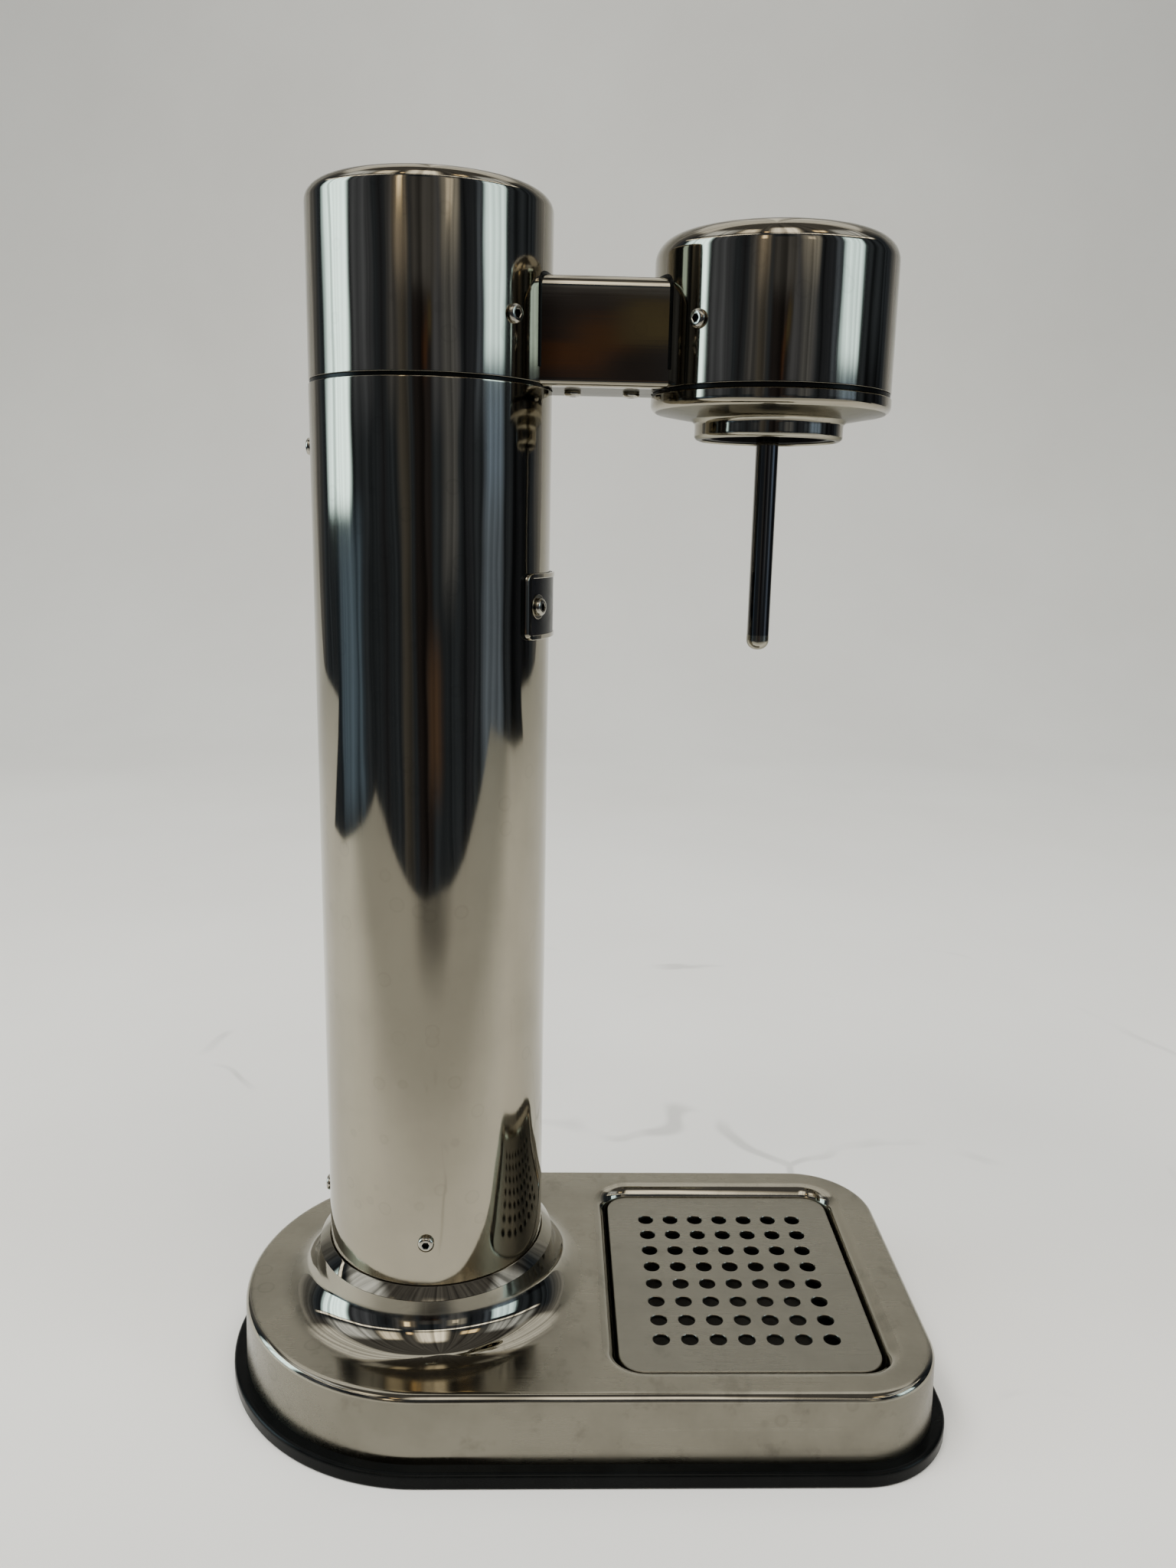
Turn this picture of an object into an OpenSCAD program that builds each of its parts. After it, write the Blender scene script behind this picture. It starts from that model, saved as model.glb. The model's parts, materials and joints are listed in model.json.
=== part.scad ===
/* [Base] */
// Width of the base, side to side
base_w = 153; // [140:1:170]
// Depth of the base, front to back
base_d = 262; // [240:1:300]
// Height of the flat top of the base
base_h = 31; // [28:0.5:36]
// Radius of the two front corners of the base
corner_r = 36; // [24:1:42]
// Height of the rubber foot ring
ring_h = 5.8; // [5:0.1:7]
// Width of the rubber foot ring, seen from below
ring_w = 18; // [16:0.5:20]
// How far the steel wall stands back from the edge of the foot ring
ring_inset = 4.6; // [3.6:0.1:5.2]
// Sheet thickness of the base shell
shell_t = 1.2; // [0.8:0.1:1.6]
// How far the side wall of the base leans in towards its top
base_lean = 0.6; // [0.2:0.1:1]
// Radius of the top edge of the base
base_edge_r = 3; // [2:0.5:4]
// Radius of the hollow flare round the foot of the column
flare_r = 15.5; // [12:0.5:15.5]
// Height of the rolled lip at the top of the flare
lip_h = 3.8; // [3:0.1:5]
// Width of the rolled lip, from the column outwards
lip_w = 4.15; // [3.5:0.05:4.5]
// Thickness of the bottom plate
plate_t = 2; // [1.5:0.25:3]

/* [Drip grille] */
// Width of the drip grille, side to side
grille_w = 109.4; // [96:0.2:110]
// Width of the base's rim in front of the drip grille
front_rim = 24.3; // [22:0.1:40]
// Width of the flat strip between the column's flare and the grille's recess
strip_w = 0.95; // [0.5:0.05:6]
// Corner radius of the drip grille
grille_r = 9; // [6:0.5:12]
// Thickness of the drip grille
grille_t = 1.5; // [1:0.1:2]
// How far the drip grille lies below the top of the base
grille_drop = 3.5; // [3:0.1:4]
// Diameter of the drain holes
drain_d = 6; // [4:0.2:8]
// Spacing of the drain holes, side to side
drain_pitch_x = 10.8; // [9:0.1:11.5]
// Spacing of the drain holes, front to back
drain_pitch_y = 10.3; // [9:0.1:11]
// Width of the grille's rim without drain holes, side to side
drain_rim_x = 13.8; // [10:0.2:24]
// Width of the grille's rim without drain holes, front to back
drain_rim_y = 12.6; // [10:0.2:24]
// Gap between the grille and the wall of its recess
recess_gap = 1; // [0.6:0.1:1.2]
// Radius of the rolled shoulder of the recess
recess_roll_r = 6.5; // [5:0.5:6.5]
// Wall thickness of the drip tray
tray_t = 1.2; // [0.8:0.1:1.6]

/* [Column] */
// Diameter of the column tube
tube_d = 79.4; // [78:0.2:80]
// Wall thickness of the column tube
tube_t = 1.5; // [1:0.1:1.8]
// Height of the whole machine
total_h = 414; // [380:1:460]
// Height of the column cap above the black seam
cap_h = 57.8; // [50:0.2:70]
// Height of the black seam ring
seam_h = 1.3; // [1:0.1:2]
// Diameter of the column cap
cap_d = 79.2; // [79:0.2:82]
// Wall thickness of the column cap and of the head drum
cap_t = 1.2; // [0.8:0.1:1.4]
// Radius of the top edge of the column cap
cap_edge_r = 4.7; // [3:0.1:7]
// Height of the lower column screws above the flare's lip
foot_screw_up = 16.7; // [12:0.1:26]
// How far the upper column screw lies below the seam
rear_screw_down = 18.9; // [14:0.1:24]

/* [Head] */
// Distance from the column's axis to the nozzle's axis
reach = 112; // [108:1:118]
// Diameter of the head drum
drum_d = 78.6; // [78:0.2:82]
// Height of the head drum
drum_h = 47.2; // [46:0.2:54]
// How far the lower edge of the head drum lies above the end of the column tube
drum_up = 0.9; // [0.6:0.1:1.2]
// Radius of the top edge of the head drum
drum_edge_r = 7; // [4:0.5:8]
// Thickness of the black gasket under the head drum
gasket_t = 1.5; // [1:0.1:2]
// Diameter of the bottle collar's rim
rim_d = 79; // [78.4:0.2:83]
// Height of the straight band of the bottle collar's rim
rim_h = 2.4; // [1.6:0.2:3]
// Diameter of the bottle collar's neck
neck_d = 49.2; // [48:0.2:53]
// Height of the bottle collar below its gasket
collar_h = 13.4; // [12:0.1:15]
// Diameter of the bottle collar's opening
mouth_d = 44.4; // [44:0.2:46]
// Diameter of the gas nozzle
nozzle_d = 7.6; // [7:0.1:8.4]
// How far the gas nozzle reaches below the bottle collar
nozzle_down = 69.4; // [50:0.2:90]
// Length of the rounded nozzle tip
tip_l = 5; // [4:0.5:8]
// How far the cap screws and the drum screws lie above the end of the column tube
side_screw_up = 19.9; // [17:0.1:21]

/* [Arm] */
// Width of the arm
arm_w = 34; // [32:0.5:35]
// How far the underside of the arm lies above the end of the column tube
arm_up = 0.5; // [0.3:0.1:0.7]
// Height of the arm
arm_h = 33.6; // [32:0.2:37]
// Radius of the top edges of the arm
arm_edge_r = 4; // [3:0.5:5]
// Radius of the lower edges of the arm
arm_low_r = 2.2; // [1.8:0.1:2.4]
// Distance between the two screws under the arm
arm_screw_pitch = 19.4; // [16:0.2:21]

/* [Lever] */
// How far the lever's axis lies above the end of the column tube
lever_up = 28.1; // [27:0.1:30]
// Length of the lever, from its axis to the knob's axis
lever_l = 100; // [80:1:110]
// Thickness of the lever bar
bar_t = 5; // [4:0.5:6]
// Diameter of the lever's knob
knob_d = 18; // [14:0.5:22]
// Length of the lever's knob
knob_l = 28.6; // [20:0.2:28.6]
// Radius of the cam that works the plunger
cam_r = 8; // [7:0.5:9]
// Offset of the cam from the lever's axis
cam_throw = 4.4; // [3.5:0.1:4.4]

/* [Badge] */
// Height of the badge
badge_h = 21.4; // [18:0.2:26]
// Half of the angle that the badge takes round the column, in degrees
badge_a = 37; // [33:1:42]
// How far the middle of the badge lies below the seam
badge_down = 68.9; // [50:0.5:120]
// Angle of each badge screw from the middle of the badge, in degrees
badge_screw_a = 28.5; // [24:0.5:29]

/* [Gas cylinder] */
// Diameter of the gas cylinder
gas_d = 60; // [56:0.5:60.5]
// Height of the gas cylinder's foot above the table
gas_z = 3; // [2:0.5:5]
// Wall thickness of the gas cylinder
gas_t = 2.5; // [2:0.1:3.5]

/* [Hidden] */

$fn = 96;
eps = 0.5;

// Clearances
slip = 0.1;
snug = 0.05;
screw_gap = 0.15;
air = 0.4;

// Base
half_w = base_w / 2;
half_d = base_d / 2;
col_y = half_d - half_w;
corner_y = corner_r - half_d;
wall_in = ring_inset + shell_t;
plate_z = ring_h + plate_t;
ring_round = 1.5;
ring_foot_round = 0.8;
plate_inset = wall_in + air;
lap = 0.3;

// Column
tube_r = tube_d / 2;
tube_ri = tube_r - tube_t;
cap_r = cap_d / 2;
cap_ri = cap_r - cap_t;
cap_z = total_h - cap_h;
seam_z = cap_z - seam_h;
lip_r = tube_r + lip_w;
lip_z = base_h + flare_r + lip_h;
tube_sink = 8;
tube_z = lip_z - tube_sink;
tube_fit = 0.15;
flare_edge = lip_r + flare_r;
seam_in = 0.4;
seam_r = tube_r - seam_in;
seam_w = 6;
seam_ri = seam_r - seam_w;
column_out = max(cap_r, tube_r);
foot_screw_z = lip_z + foot_screw_up;
rear_screw_z = seam_z - rear_screw_down;
badge_z = seam_z - badge_down;

// Head
head_y = col_y - reach;
drum_z = seam_z + drum_up;
drum_top = drum_z + drum_h;
arm_z = seam_z + arm_up;
arm_top = arm_z + arm_h;
lever_z = seam_z + lever_up;
side_screw_z = seam_z + side_screw_up;
drum_r = drum_d / 2;
drum_ri = drum_r - cap_t;
rim_r = rim_d / 2;
neck_r = neck_d / 2;
mouth_r = mouth_d / 2;
collar_z = drum_z - gasket_t;
neck_z = collar_z - collar_h;
nozzle_z = neck_z - nozzle_down;
head_out = max(drum_r, rim_r);

// Drip grille
grille_back = col_y - flare_edge - strip_w - recess_roll_r - recess_gap;
grille_front = front_rim - half_d;
grille_l = grille_back - grille_front;
grille_y = (grille_back + grille_front) / 2;
grille_top = base_h - grille_drop;
grille_z = grille_top - grille_t;
recess_w = grille_w + 2 * recess_gap;
recess_l = grille_l + 2 * recess_gap;
recess_r = grille_r + recess_gap;
recess_wall_z = base_h - recess_roll_r;
recess_skirt = 10;
tray_floor_t = 1.5;
skirt_t = 1;
skirt_h = 4;
skirt_gap = 0.4;
drain_span_x = grille_w - 2 * drain_rim_x - drain_d;
drain_span_y = grille_l - 2 * drain_rim_y - drain_d;
drain_nx = floor(drain_span_x / drain_pitch_x + 0.01) + 1;
drain_ny = floor(drain_span_y / drain_pitch_y + 0.01) + 1;

// Screws
m3_r = 1.5;
m4_r = 2;
head_r = 2.9;
head_h = 1.7;
plate_head_r = 2.8;
big_head_r = 3.6;
big_head_h = 2.2;
low_head_h = 1.8;
cap_head_r = 2.6;
side_screw_l = 7;
rear_screw_l = 5.4;
arm_screw_l = 9;
frame_screw_l = 4;
valve_screw_l = 8;
boss_r = 3.4;
boss_inset = 11.6;
base_screw_l = 16;
badge_screw_l = 6;
side_hole_l = 10;
rear_hole_l = 8;
beam_hole_l = 4.5;
valve_hole_l = 9;
counterbore_z = 3.5;
counterbore_r = big_head_r + 0.6;
rear_boss_angles = [15, 90, 165];
side_boss_y = grille_y + grille_l / 3;
corner_boss_a = 45;
socket_screw_angles = [45, 135, 225, 315];
foot_screw_angles = [0, 90, 180];
rear_screw_angle = 90;
cap_screw_angles = [225, 315];
drum_screw_angles = [45, 135];
badge_middle = 270;

// Column socket
socket_gap = 3.1;
socket_r_low = lip_r - shell_t - 0.9;
socket_r_top = tube_ri - slip;
socket_ri = gas_d / 2 + socket_gap;
socket_above = 17;
foot_screw_l = tube_r - socket_ri - slip;
socket_top = foot_screw_z + socket_above;
hatch_gap = 2;
hatch_r = gas_d / 2 + hatch_gap;
socket_screw_r = (socket_ri + socket_r_low) / 2;
socket_screw_l = 14;

// Frames in the cap and in the drum
frame_t = 4.8;
frame_sink = 4.9;
frame_top = cap_z + frame_t;
frame_low = seam_z - frame_sink;
skirt_below = 10;
skirt_low = rear_screw_z - skirt_below;
skirt_wall = 4.1;
skirt_ri = tube_ri - slip - skirt_wall;
frame_gap = 0.2;
frame_r = cap_ri - frame_gap;
head_frame_r = drum_ri - frame_gap;
post_r = 4;
post_h = 19;
post_at = frame_r - post_r - frame_gap;
head_post_at = head_frame_r - post_r - frame_gap;
valve_r = 16;
valve_flange_r = 23;
valve_flange_t = 4;
valve_below = 18.2;
valve_low = cap_z - valve_below;
nose_r = 10.5;
nose_l = 18;
seal_z = valve_low + nose_l;
seal_t = 2;
flange_top = frame_top + valve_flange_t;
pillar_gap = 1;
pillar_x = valve_flange_r + pillar_gap;
pillar_t = 7;
pillar_half = 8;
bush_r = 6;
bush_flange_r = 8;
bush_flange_t = 1;
shaft_r = 4;
pillar_top = lever_z + bush_flange_r + 0.5;
pipe_up = 5;
pipe_z = flange_top + pipe_up;
pipe_r = 2.5;
pipe_ri = 1.5;
pipe_seat = 5.5;
outlet_half = 5;
outlet_near = 12;
outlet_far = 22;
valve_screw_angles = [90, 210, 330];
valve_screw_at = 19.7;
relief_x = 7;
relief_y = 11;
relief_r = 2;
relief_stem_l = 4;
relief_hole_l = 6;
relief_hex_r = 4;
relief_hex_h = 6;
relief_cap_r = 2.6;
relief_cap_h = 3;

// Plunger
plunger_top = lever_z - cam_r - tube_fit;
plunger_head_t = 3;
plunger_head_r = 7;
plunger_r = 4;
plunger_up = 2.9;
plunger_low = seal_z + seal_t + plunger_up;
spring_r = 5.4;
spring_wire_r = 0.5;
spring_turns = 3;
spring_steps = 20;
spring_sides = 6;

// Gas cylinder
gas_r = gas_d / 2;
valve_hex_r = 13;
valve_hex_h = 16;
valve_hex_z = valve_low - valve_hex_h;
valve_plug_l = 12;
pin_drop = 10;
pin_room = 6;
gas_neck_r = 14;
gas_neck_h = 9;
gas_shoulder_h = 28;
gas_top = valve_hex_z;
gas_shoulder_z = gas_top - gas_neck_h - gas_shoulder_h;
gas_foot_r = 5;
pin_r = 2;
pin_top = plunger_low - slip;
pin_low = valve_hex_z + pin_drop;
gas_neck_t = 4;
gas_dimple = 2;
gas_base_t = 6;
guide_down = 115;
guide_z = seam_z - guide_down;
guide_h = 16;
guide_wall = 2.5;
guide_gap = 0.8;
guide_rib_t = 4;
guide_ribs = 6;

// Arm
insert_flange_r = 28;
insert_flange_t = 2.2;
beam_z = frame_top;
beam_t = 4;
beam_half = 14.5;
beam_wall = 4;
beam_h = 23;
beam_gap = 0.5;
beam_rear = col_y - valve_flange_r - beam_gap;
beam_front = head_y + insert_flange_r + beam_gap;
beam_bolt_x = 7.5;
beam_bolt_in = 6;
arm_t = 1.2;
arm_mid_y = (col_y - cap_r + head_y + drum_r) / 2;
arm_lip = 4.5;
arm_tuck = 6.3;
arm_rear = col_y - cap_ri + arm_tuck;
arm_front = head_y + drum_ri - arm_tuck;
arm_plate_t = 1.5;
arm_boss_r = 4.5;
arm_step = 0.3;
window_gap = 0.9;
window_z = beam_z - slip;
gasket_fit = 0.05;
gasket_out = 0.4;

// Bottle thread and nozzle
insert_r = mouth_r - slip;
insert_t = 2.7;
insert_ri = insert_r - insert_t;
insert_in = 0.9;
insert_z = neck_z + insert_in;
lug_w = 1.4;
lug_up = 3.2;
lug_r = insert_ri - lug_w;
lug_z = insert_z + lug_up;
lug_h = 2.5;
lug_a = 36;
insert_hole_r = 6.3;
holder_r = insert_hole_r - slip;
holder_flange_r = 9;
holder_flange_t = 3;
holder_body_r = 6;
holder_port_r = 4;
holder_in = 10;
holder_low = insert_z + holder_in;
holder_top = pipe_z + holder_port_r + 1;
holder_port_l = 10;
nozzle_r = nozzle_d / 2;
nozzle_wall = 1;
nozzle_ri = nozzle_r - nozzle_wall;
nozzle_above = 6;
nozzle_top = frame_top + nozzle_above;
tip_z = nozzle_z + tip_l;
tip_spigot_l = 6;
tip_bore_r = 0.8;
collar_screw_in = 2.3;
collar_screw_angles = [30, 150, 270];
collar_seat_w = 6;
collar_seat_r = rim_r - collar_seat_w;
collar_screw_at = collar_seat_r - collar_screw_in;
collar_hole_l = 4.5;
seal_h = 2.7;
head_hole_r = mouth_r + 0.5;

// Lever
housing_r = 10;
housing_out = 1.6;
housing_x = max(cap_r, head_out) + housing_out - 0.6;
bar_x = housing_x + air;
hub_r = 9.5;
bar_end_r = 7;
bar_half = 5.5;
shaft_end = bar_x + bar_t - 0.5;
knob_x = bar_x + bar_t + snug;
knob_y = col_y - lever_l;
knob_round = 3;
lever_head_r = 5;
lever_head_h = 2.5;
lever_screw_l = 11;
knob_screw_l = 14;
knob_head_t = 1.7;

// Badge
badge_gap = 0.25;
backing_t = 0.5;
backing_a = badge_a + 1.8;
badge_t = 0.5;
badge_rim_t = 0.35;
badge_rim_w = 1.5;
badge_r = tube_r + snug + backing_t + badge_gap;
badge_corner = 2.5;
badge_pad_r = 4;
badge_screw_r = 1.25;

// Points along an arc, from angle a0 to angle a1
function arc(x, y, r, a0, a1, n = 6) =
    [for (i = [0:n]) [x + r * cos(a0 + (a1 - a0) * i / n), y + r * sin(a0 + (a1 - a0) * i / n)]];

// Points of a helix tube, ring after ring, and its faces
function helix_ring(i, n, r, rise, turns, wire, sides) =
    let (a = 360 * turns * i / n)
    [for (j = [0:sides - 1])
        let (b = 360 * j / sides)
        [(r + wire * cos(b)) * cos(a), (r + wire * cos(b)) * sin(a), rise * i / n + wire * sin(b)]];

// Plan outline of the base, drawn in from its edge
module plan_shape(inset = 0) {
    translate([0, col_y]) circle(half_w - inset);
    translate([inset - half_w, corner_y]) square([2 * (half_w - inset), col_y - corner_y]);
    for (side = [-1, 1]) translate([side * (half_w - corner_r), corner_y]) circle(corner_r - inset);
    translate([corner_r - half_w, inset - half_d]) square([2 * (half_w - corner_r), corner_r]);
}

// Carries a profile round the plan outline; x runs outwards from the outline
module plan_sweep() {
    translate([0, col_y, 0]) rotate_extrude(angle = 180) translate([half_w, 0]) children();
    for (m = [0, 1]) mirror([m, 0, 0]) {
        translate([0, col_y, 0]) rotate([90, 0, 0]) linear_extrude(col_y - corner_y)
            translate([half_w, 0]) children();
        translate([half_w - corner_r, corner_y, 0]) rotate([0, 0, -90]) rotate_extrude(angle = 90)
            translate([corner_r, 0]) children();
    }
    rotate([0, 0, -90]) translate([0, half_w - corner_r, 0]) rotate([90, 0, 0])
        linear_extrude(2 * (half_w - corner_r)) translate([half_d, 0]) children();
}

// Rectangle with round corners
module rect_shape(w, l, r) {
    translate([r - w / 2, -l / 2]) square([w - 2 * r, l]);
    translate([-w / 2, r - l / 2]) square([w, l - 2 * r]);
    for (sx = [-1, 1], sy = [-1, 1]) translate([sx * (w / 2 - r), sy * (l / 2 - r)]) circle(r);
}

// Carries a profile round a rectangle with round corners; x runs outwards
module rect_sweep(w, l, r) {
    for (m = [0, 1]) mirror([m, 0, 0]) translate([0, l / 2 - r, 0]) rotate([90, 0, 0])
        linear_extrude(l - 2 * r) translate([w / 2, 0]) children();
    for (m = [0, 1]) mirror([0, m, 0]) rotate([0, 0, -90]) translate([0, w / 2 - r, 0])
        rotate([90, 0, 0]) linear_extrude(w - 2 * r) translate([l / 2, 0]) children();
    for (mx = [0, 1], my = [0, 1]) mirror([mx, 0, 0]) mirror([0, my, 0])
        translate([w / 2 - r, l / 2 - r, 0]) rotate_extrude(angle = 90) translate([r, 0]) children();
}

// Tube about the vertical axis
module ring(ro, ri, h) {
    difference() {
        cylinder(r = ro, h = h);
        translate([0, 0, -eps]) cylinder(r = ri, h = h + 2 * eps);
    }
}

// Points a child's +Z outwards, at an angle and a radius from an upright axis
module radial(angle, r, z, y) {
    translate([0, y, z]) rotate([0, 0, angle]) translate([r, 0, 0]) rotate([0, 90, 0]) children();
}

// Hole for a screw that comes in from outside
module radial_hole(angle, r, z, y, hole_r, depth) {
    radial(angle, r - depth, z, y) cylinder(r = hole_r, h = depth + 2);
}

// Screw with a domed head and a hex socket; its head stands on z = 0
module button_screw(r, length, screw_head_r = head_r, screw_head_h = head_h) {
    dome = [for (a = [0:15:90]) [screw_head_r * cos(a), screw_head_h * (0.3 + 0.7 * sin(a))]];
    difference() {
        rotate_extrude() polygon(concat([[0, -length], [r, -length], [r, 0], [screw_head_r, 0]], dome));
        translate([0, 0, screw_head_h * 0.4]) cylinder(r = screw_head_r * 0.42, h = screw_head_h, $fn = 6);
    }
}

// Places of the bosses that the base is screwed to
module boss_places() {
    for (a = rear_boss_angles) translate([0, col_y, 0]) rotate([0, 0, a])
        translate([half_w - boss_inset, 0, 0]) children();
    for (side = [-1, 1]) {
        translate([side * (half_w - boss_inset), side_boss_y, 0]) children();
        translate([side * (half_w - corner_r + (corner_r - boss_inset) * sin(corner_boss_a)),
            corner_y - (corner_r - boss_inset) * cos(corner_boss_a), 0]) children();
    }
}

// Places of the screws that hold the column socket
module socket_places() {
    for (a = socket_screw_angles) translate([0, col_y, 0]) rotate([0, 0, a])
        translate([socket_screw_r, 0, 0]) children();
}

// Places of the two screws under the arm
module arm_screw_places() {
    for (side = [-1, 1]) translate([0, arm_mid_y + side * arm_screw_pitch / 2, 0]) children();
}

// Places of the bolts through the ends of the arm beam
module beam_bolt_places() {
    for (side = [-1, 1], y = [beam_rear - beam_bolt_in, beam_front + beam_bolt_in])
        translate([side * beam_bolt_x, y, 0]) children();
}

// Places of the bolts through the flange of the valve block
module valve_bolt_places() {
    for (a = valve_screw_angles) translate([0, col_y, 0]) rotate([0, 0, a])
        translate([valve_screw_at, 0, 0]) children();
}

// Places of the screws that hold the bottle collar
module collar_screw_places() {
    for (a = collar_screw_angles) translate([0, head_y, 0]) rotate([0, 0, a])
        translate([collar_screw_at, 0, 0]) children();
}

// Section of the arm: round top edges and rounder-than-square lower edges
module arm_section(grow = 0) {
    w = arm_w / 2 + grow;
    top = arm_top + grow;
    low = arm_z - grow;
    polygon(concat(
        arc(w - arm_edge_r, top - arm_edge_r, arm_edge_r, 0, 90),
        arc(arm_edge_r - w, top - arm_edge_r, arm_edge_r, 90, 180),
        arc(arm_low_r - w, low + arm_low_r, arm_low_r, 180, 270),
        arc(w - arm_low_r, low + arm_low_r, arm_low_r, 270, 360)));
}

// Space of the arm's section along the arm
module arm_bar(y_front, y_rear) {
    translate([0, y_rear, 0]) rotate([90, 0, 0]) linear_extrude(y_rear - y_front) children();
}

// Window that the arm needs in the wall of the cap and of the drum
module arm_window() {
    intersection() {
        arm_bar(head_y, col_y) arm_section(window_gap);
        translate([-arm_w, head_y, window_z]) cube([2 * arm_w, reach, total_h]);
    }
}

// Closed cup with a round top edge, standing open end down
module round_cup(r, t, z, top, edge_r) {
    rotate_extrude() polygon(concat(
        [[r, z]], arc(r - edge_r, top - edge_r, edge_r, 0, 90, 8), [[0, top], [0, top - t]],
        arc(r - edge_r, top - edge_r, edge_r - t, 90, 0, 8), [[r - t, z]]));
}

module foot_ring() {
    color("#1a1a1c") difference() {
        plan_sweep() polygon(concat(
            [[-ring_w, 0]],
            arc(-ring_foot_round, ring_foot_round, ring_foot_round, 270, 360, 3),
            arc(-ring_round, ring_h - ring_round, ring_round, 0, 90, 5),
            [[-ring_w, ring_h]]));
        boss_places() {
            translate([0, 0, -eps]) cylinder(r = m4_r + screw_gap, h = ring_h + 2 * eps);
            translate([0, 0, -eps]) cylinder(r = counterbore_r, h = counterbore_z + eps);
        }
    }
}

module base_shell() {
    top_in = ring_inset + base_lean;
    edge_x = -top_in - base_edge_r;
    edge_z = base_h - base_edge_r;
    lip_t = 1.6;
    color("#b9b7b0") union() {
        plan_sweep() polygon(concat(
            [[-wall_in, ring_h], [-ring_inset, ring_h]],
            arc(edge_x, edge_z, base_edge_r, 0, 90, 6),
            [[edge_x - lap, base_h], [edge_x - lap, base_h - shell_t]],
            arc(edge_x, edge_z, base_edge_r - shell_t, 90, 0, 6)));
        difference() {
            translate([0, 0, base_h - shell_t]) linear_extrude(shell_t) plan_shape(top_in + base_edge_r);
            translate([0, col_y, 0]) cylinder(r = flare_edge, h = total_h);
            translate([0, grille_y, 0]) linear_extrude(total_h)
                rect_shape(recess_w + 2 * recess_roll_r, recess_l + 2 * recess_roll_r,
                    recess_r + recess_roll_r);
        }
        translate([0, col_y, 0]) rotate_extrude() polygon(concat(
            [[flare_edge + lap, base_h]],
            arc(flare_edge, base_h + flare_r, flare_r, 270, 180, 10),
            [[lip_r - lip_w * 0.48, lip_z - lip_h * 0.42], [tube_r + tube_fit, lip_z]],
            [[tube_r + tube_fit, lip_z - lip_t]],
            arc(flare_edge, base_h + flare_r, flare_r + shell_t, 180, 270, 10),
            [[flare_edge + lap, base_h - shell_t]]));
        translate([0, grille_y, 0]) rect_sweep(recess_w, recess_l, recess_r) polygon(concat(
            [[recess_roll_r + lap, base_h - shell_t], [recess_roll_r + lap, base_h]],
            arc(recess_roll_r, recess_wall_z, recess_roll_r, 90, 180, 7),
            [[0, recess_wall_z - recess_skirt], [shell_t, recess_wall_z - recess_skirt]],
            arc(recess_roll_r, recess_wall_z, recess_roll_r - shell_t, 180, 90, 7)));
    }
}

module base_plate() {
    color("#8d8f92") difference() {
        translate([0, 0, ring_h]) linear_extrude(plate_t) plan_shape(plate_inset);
        translate([0, col_y, 0]) cylinder(r = hatch_r, h = base_h);
        boss_places() cylinder(r = m4_r + screw_gap, h = base_h);
        socket_places() cylinder(r = m4_r + screw_gap, h = base_h);
    }
}

module base_frame() {
    wall_u = shell_t + 0.5;
    wall_h = recess_wall_z - 3 - plate_z;
    rib_t = 2;
    rib_h = 10;
    rim_in = plate_inset + 2 * slip;
    rim_t = 2.5;
    boss_h = base_h - shell_t - 2 * slip - plate_z;
    collar_in = socket_r_low + 0.5;
    rib_x = 20;
    recess_out = recess_w / 2 + wall_u;
    recess_back = grille_y + recess_l / 2 + wall_u;
    recess_front = grille_y - recess_l / 2 - wall_u;
    color("#3b3d40") translate([0, 0, plate_z]) difference() {
        union() {
            plan_sweep() translate([-rim_in - rim_t, 0]) square([rim_t, rib_h]);
            translate([0, grille_y, 0]) rect_sweep(recess_w, recess_l, recess_r)
                translate([wall_u, 0]) square([rib_t, wall_h]);
            translate([0, col_y, 0]) ring(collar_in + 2 * rib_t, collar_in, rib_h);
            for (side = [-1, 1]) {
                translate([side * rib_x - rib_t / 2, recess_back, 0])
                    cube([rib_t, col_y - collar_in + 2 * rib_t - recess_back, rib_h]);
                translate([side * rib_x - rib_t / 2, rim_in + rib_t / 2 - half_d, 0])
                    cube([rib_t, recess_front - rim_in - rib_t / 2 + half_d, rib_h]);
                translate([side > 0 ? recess_out : rim_in + rib_t / 2 - half_w, side_boss_y, 0])
                    translate([0, -rib_t / 2, 0])
                    cube([half_w - rim_in - rib_t / 2 - recess_out, rib_t, rib_h]);
                translate([side * (half_w - corner_r), corner_y, 0])
                    rotate([0, 0, side > 0 ? corner_boss_a - 90 : 270 - corner_boss_a])
                    translate([0, -rib_t / 2, 0]) cube([corner_r - boss_inset, rib_t, rib_h]);
            }
            for (a = rear_boss_angles) translate([0, col_y, 0]) rotate([0, 0, a])
                translate([collar_in + rib_t, -rib_t / 2, 0])
                cube([half_w - boss_inset - collar_in - rib_t, rib_t, rib_h]);
            boss_places() cylinder(r = boss_r, h = boss_h);
        }
        boss_places() translate([0, 0, -eps]) cylinder(r = m4_r + snug, h = boss_h - 2);
        translate([0, grille_y, -eps]) linear_extrude(base_h)
            rect_shape(recess_w + 2 * wall_u, recess_l + 2 * wall_u, recess_r + wall_u);
    }
}

module base_screws() {
    color("#c9c9c6") boss_places() translate([0, 0, counterbore_z]) mirror([0, 0, 1])
        button_screw(m4_r, base_screw_l, big_head_r, big_head_h);
}

module drip_tray() {
    color("#8f8e89") translate([0, grille_y, plate_z]) difference() {
        linear_extrude(grille_z - plate_z) rect_shape(grille_w, grille_l, grille_r);
        translate([0, 0, tray_floor_t]) linear_extrude(base_h)
            rect_shape(grille_w - 2 * tray_t, grille_l - 2 * tray_t, grille_r - tray_t);
    }
}

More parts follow.
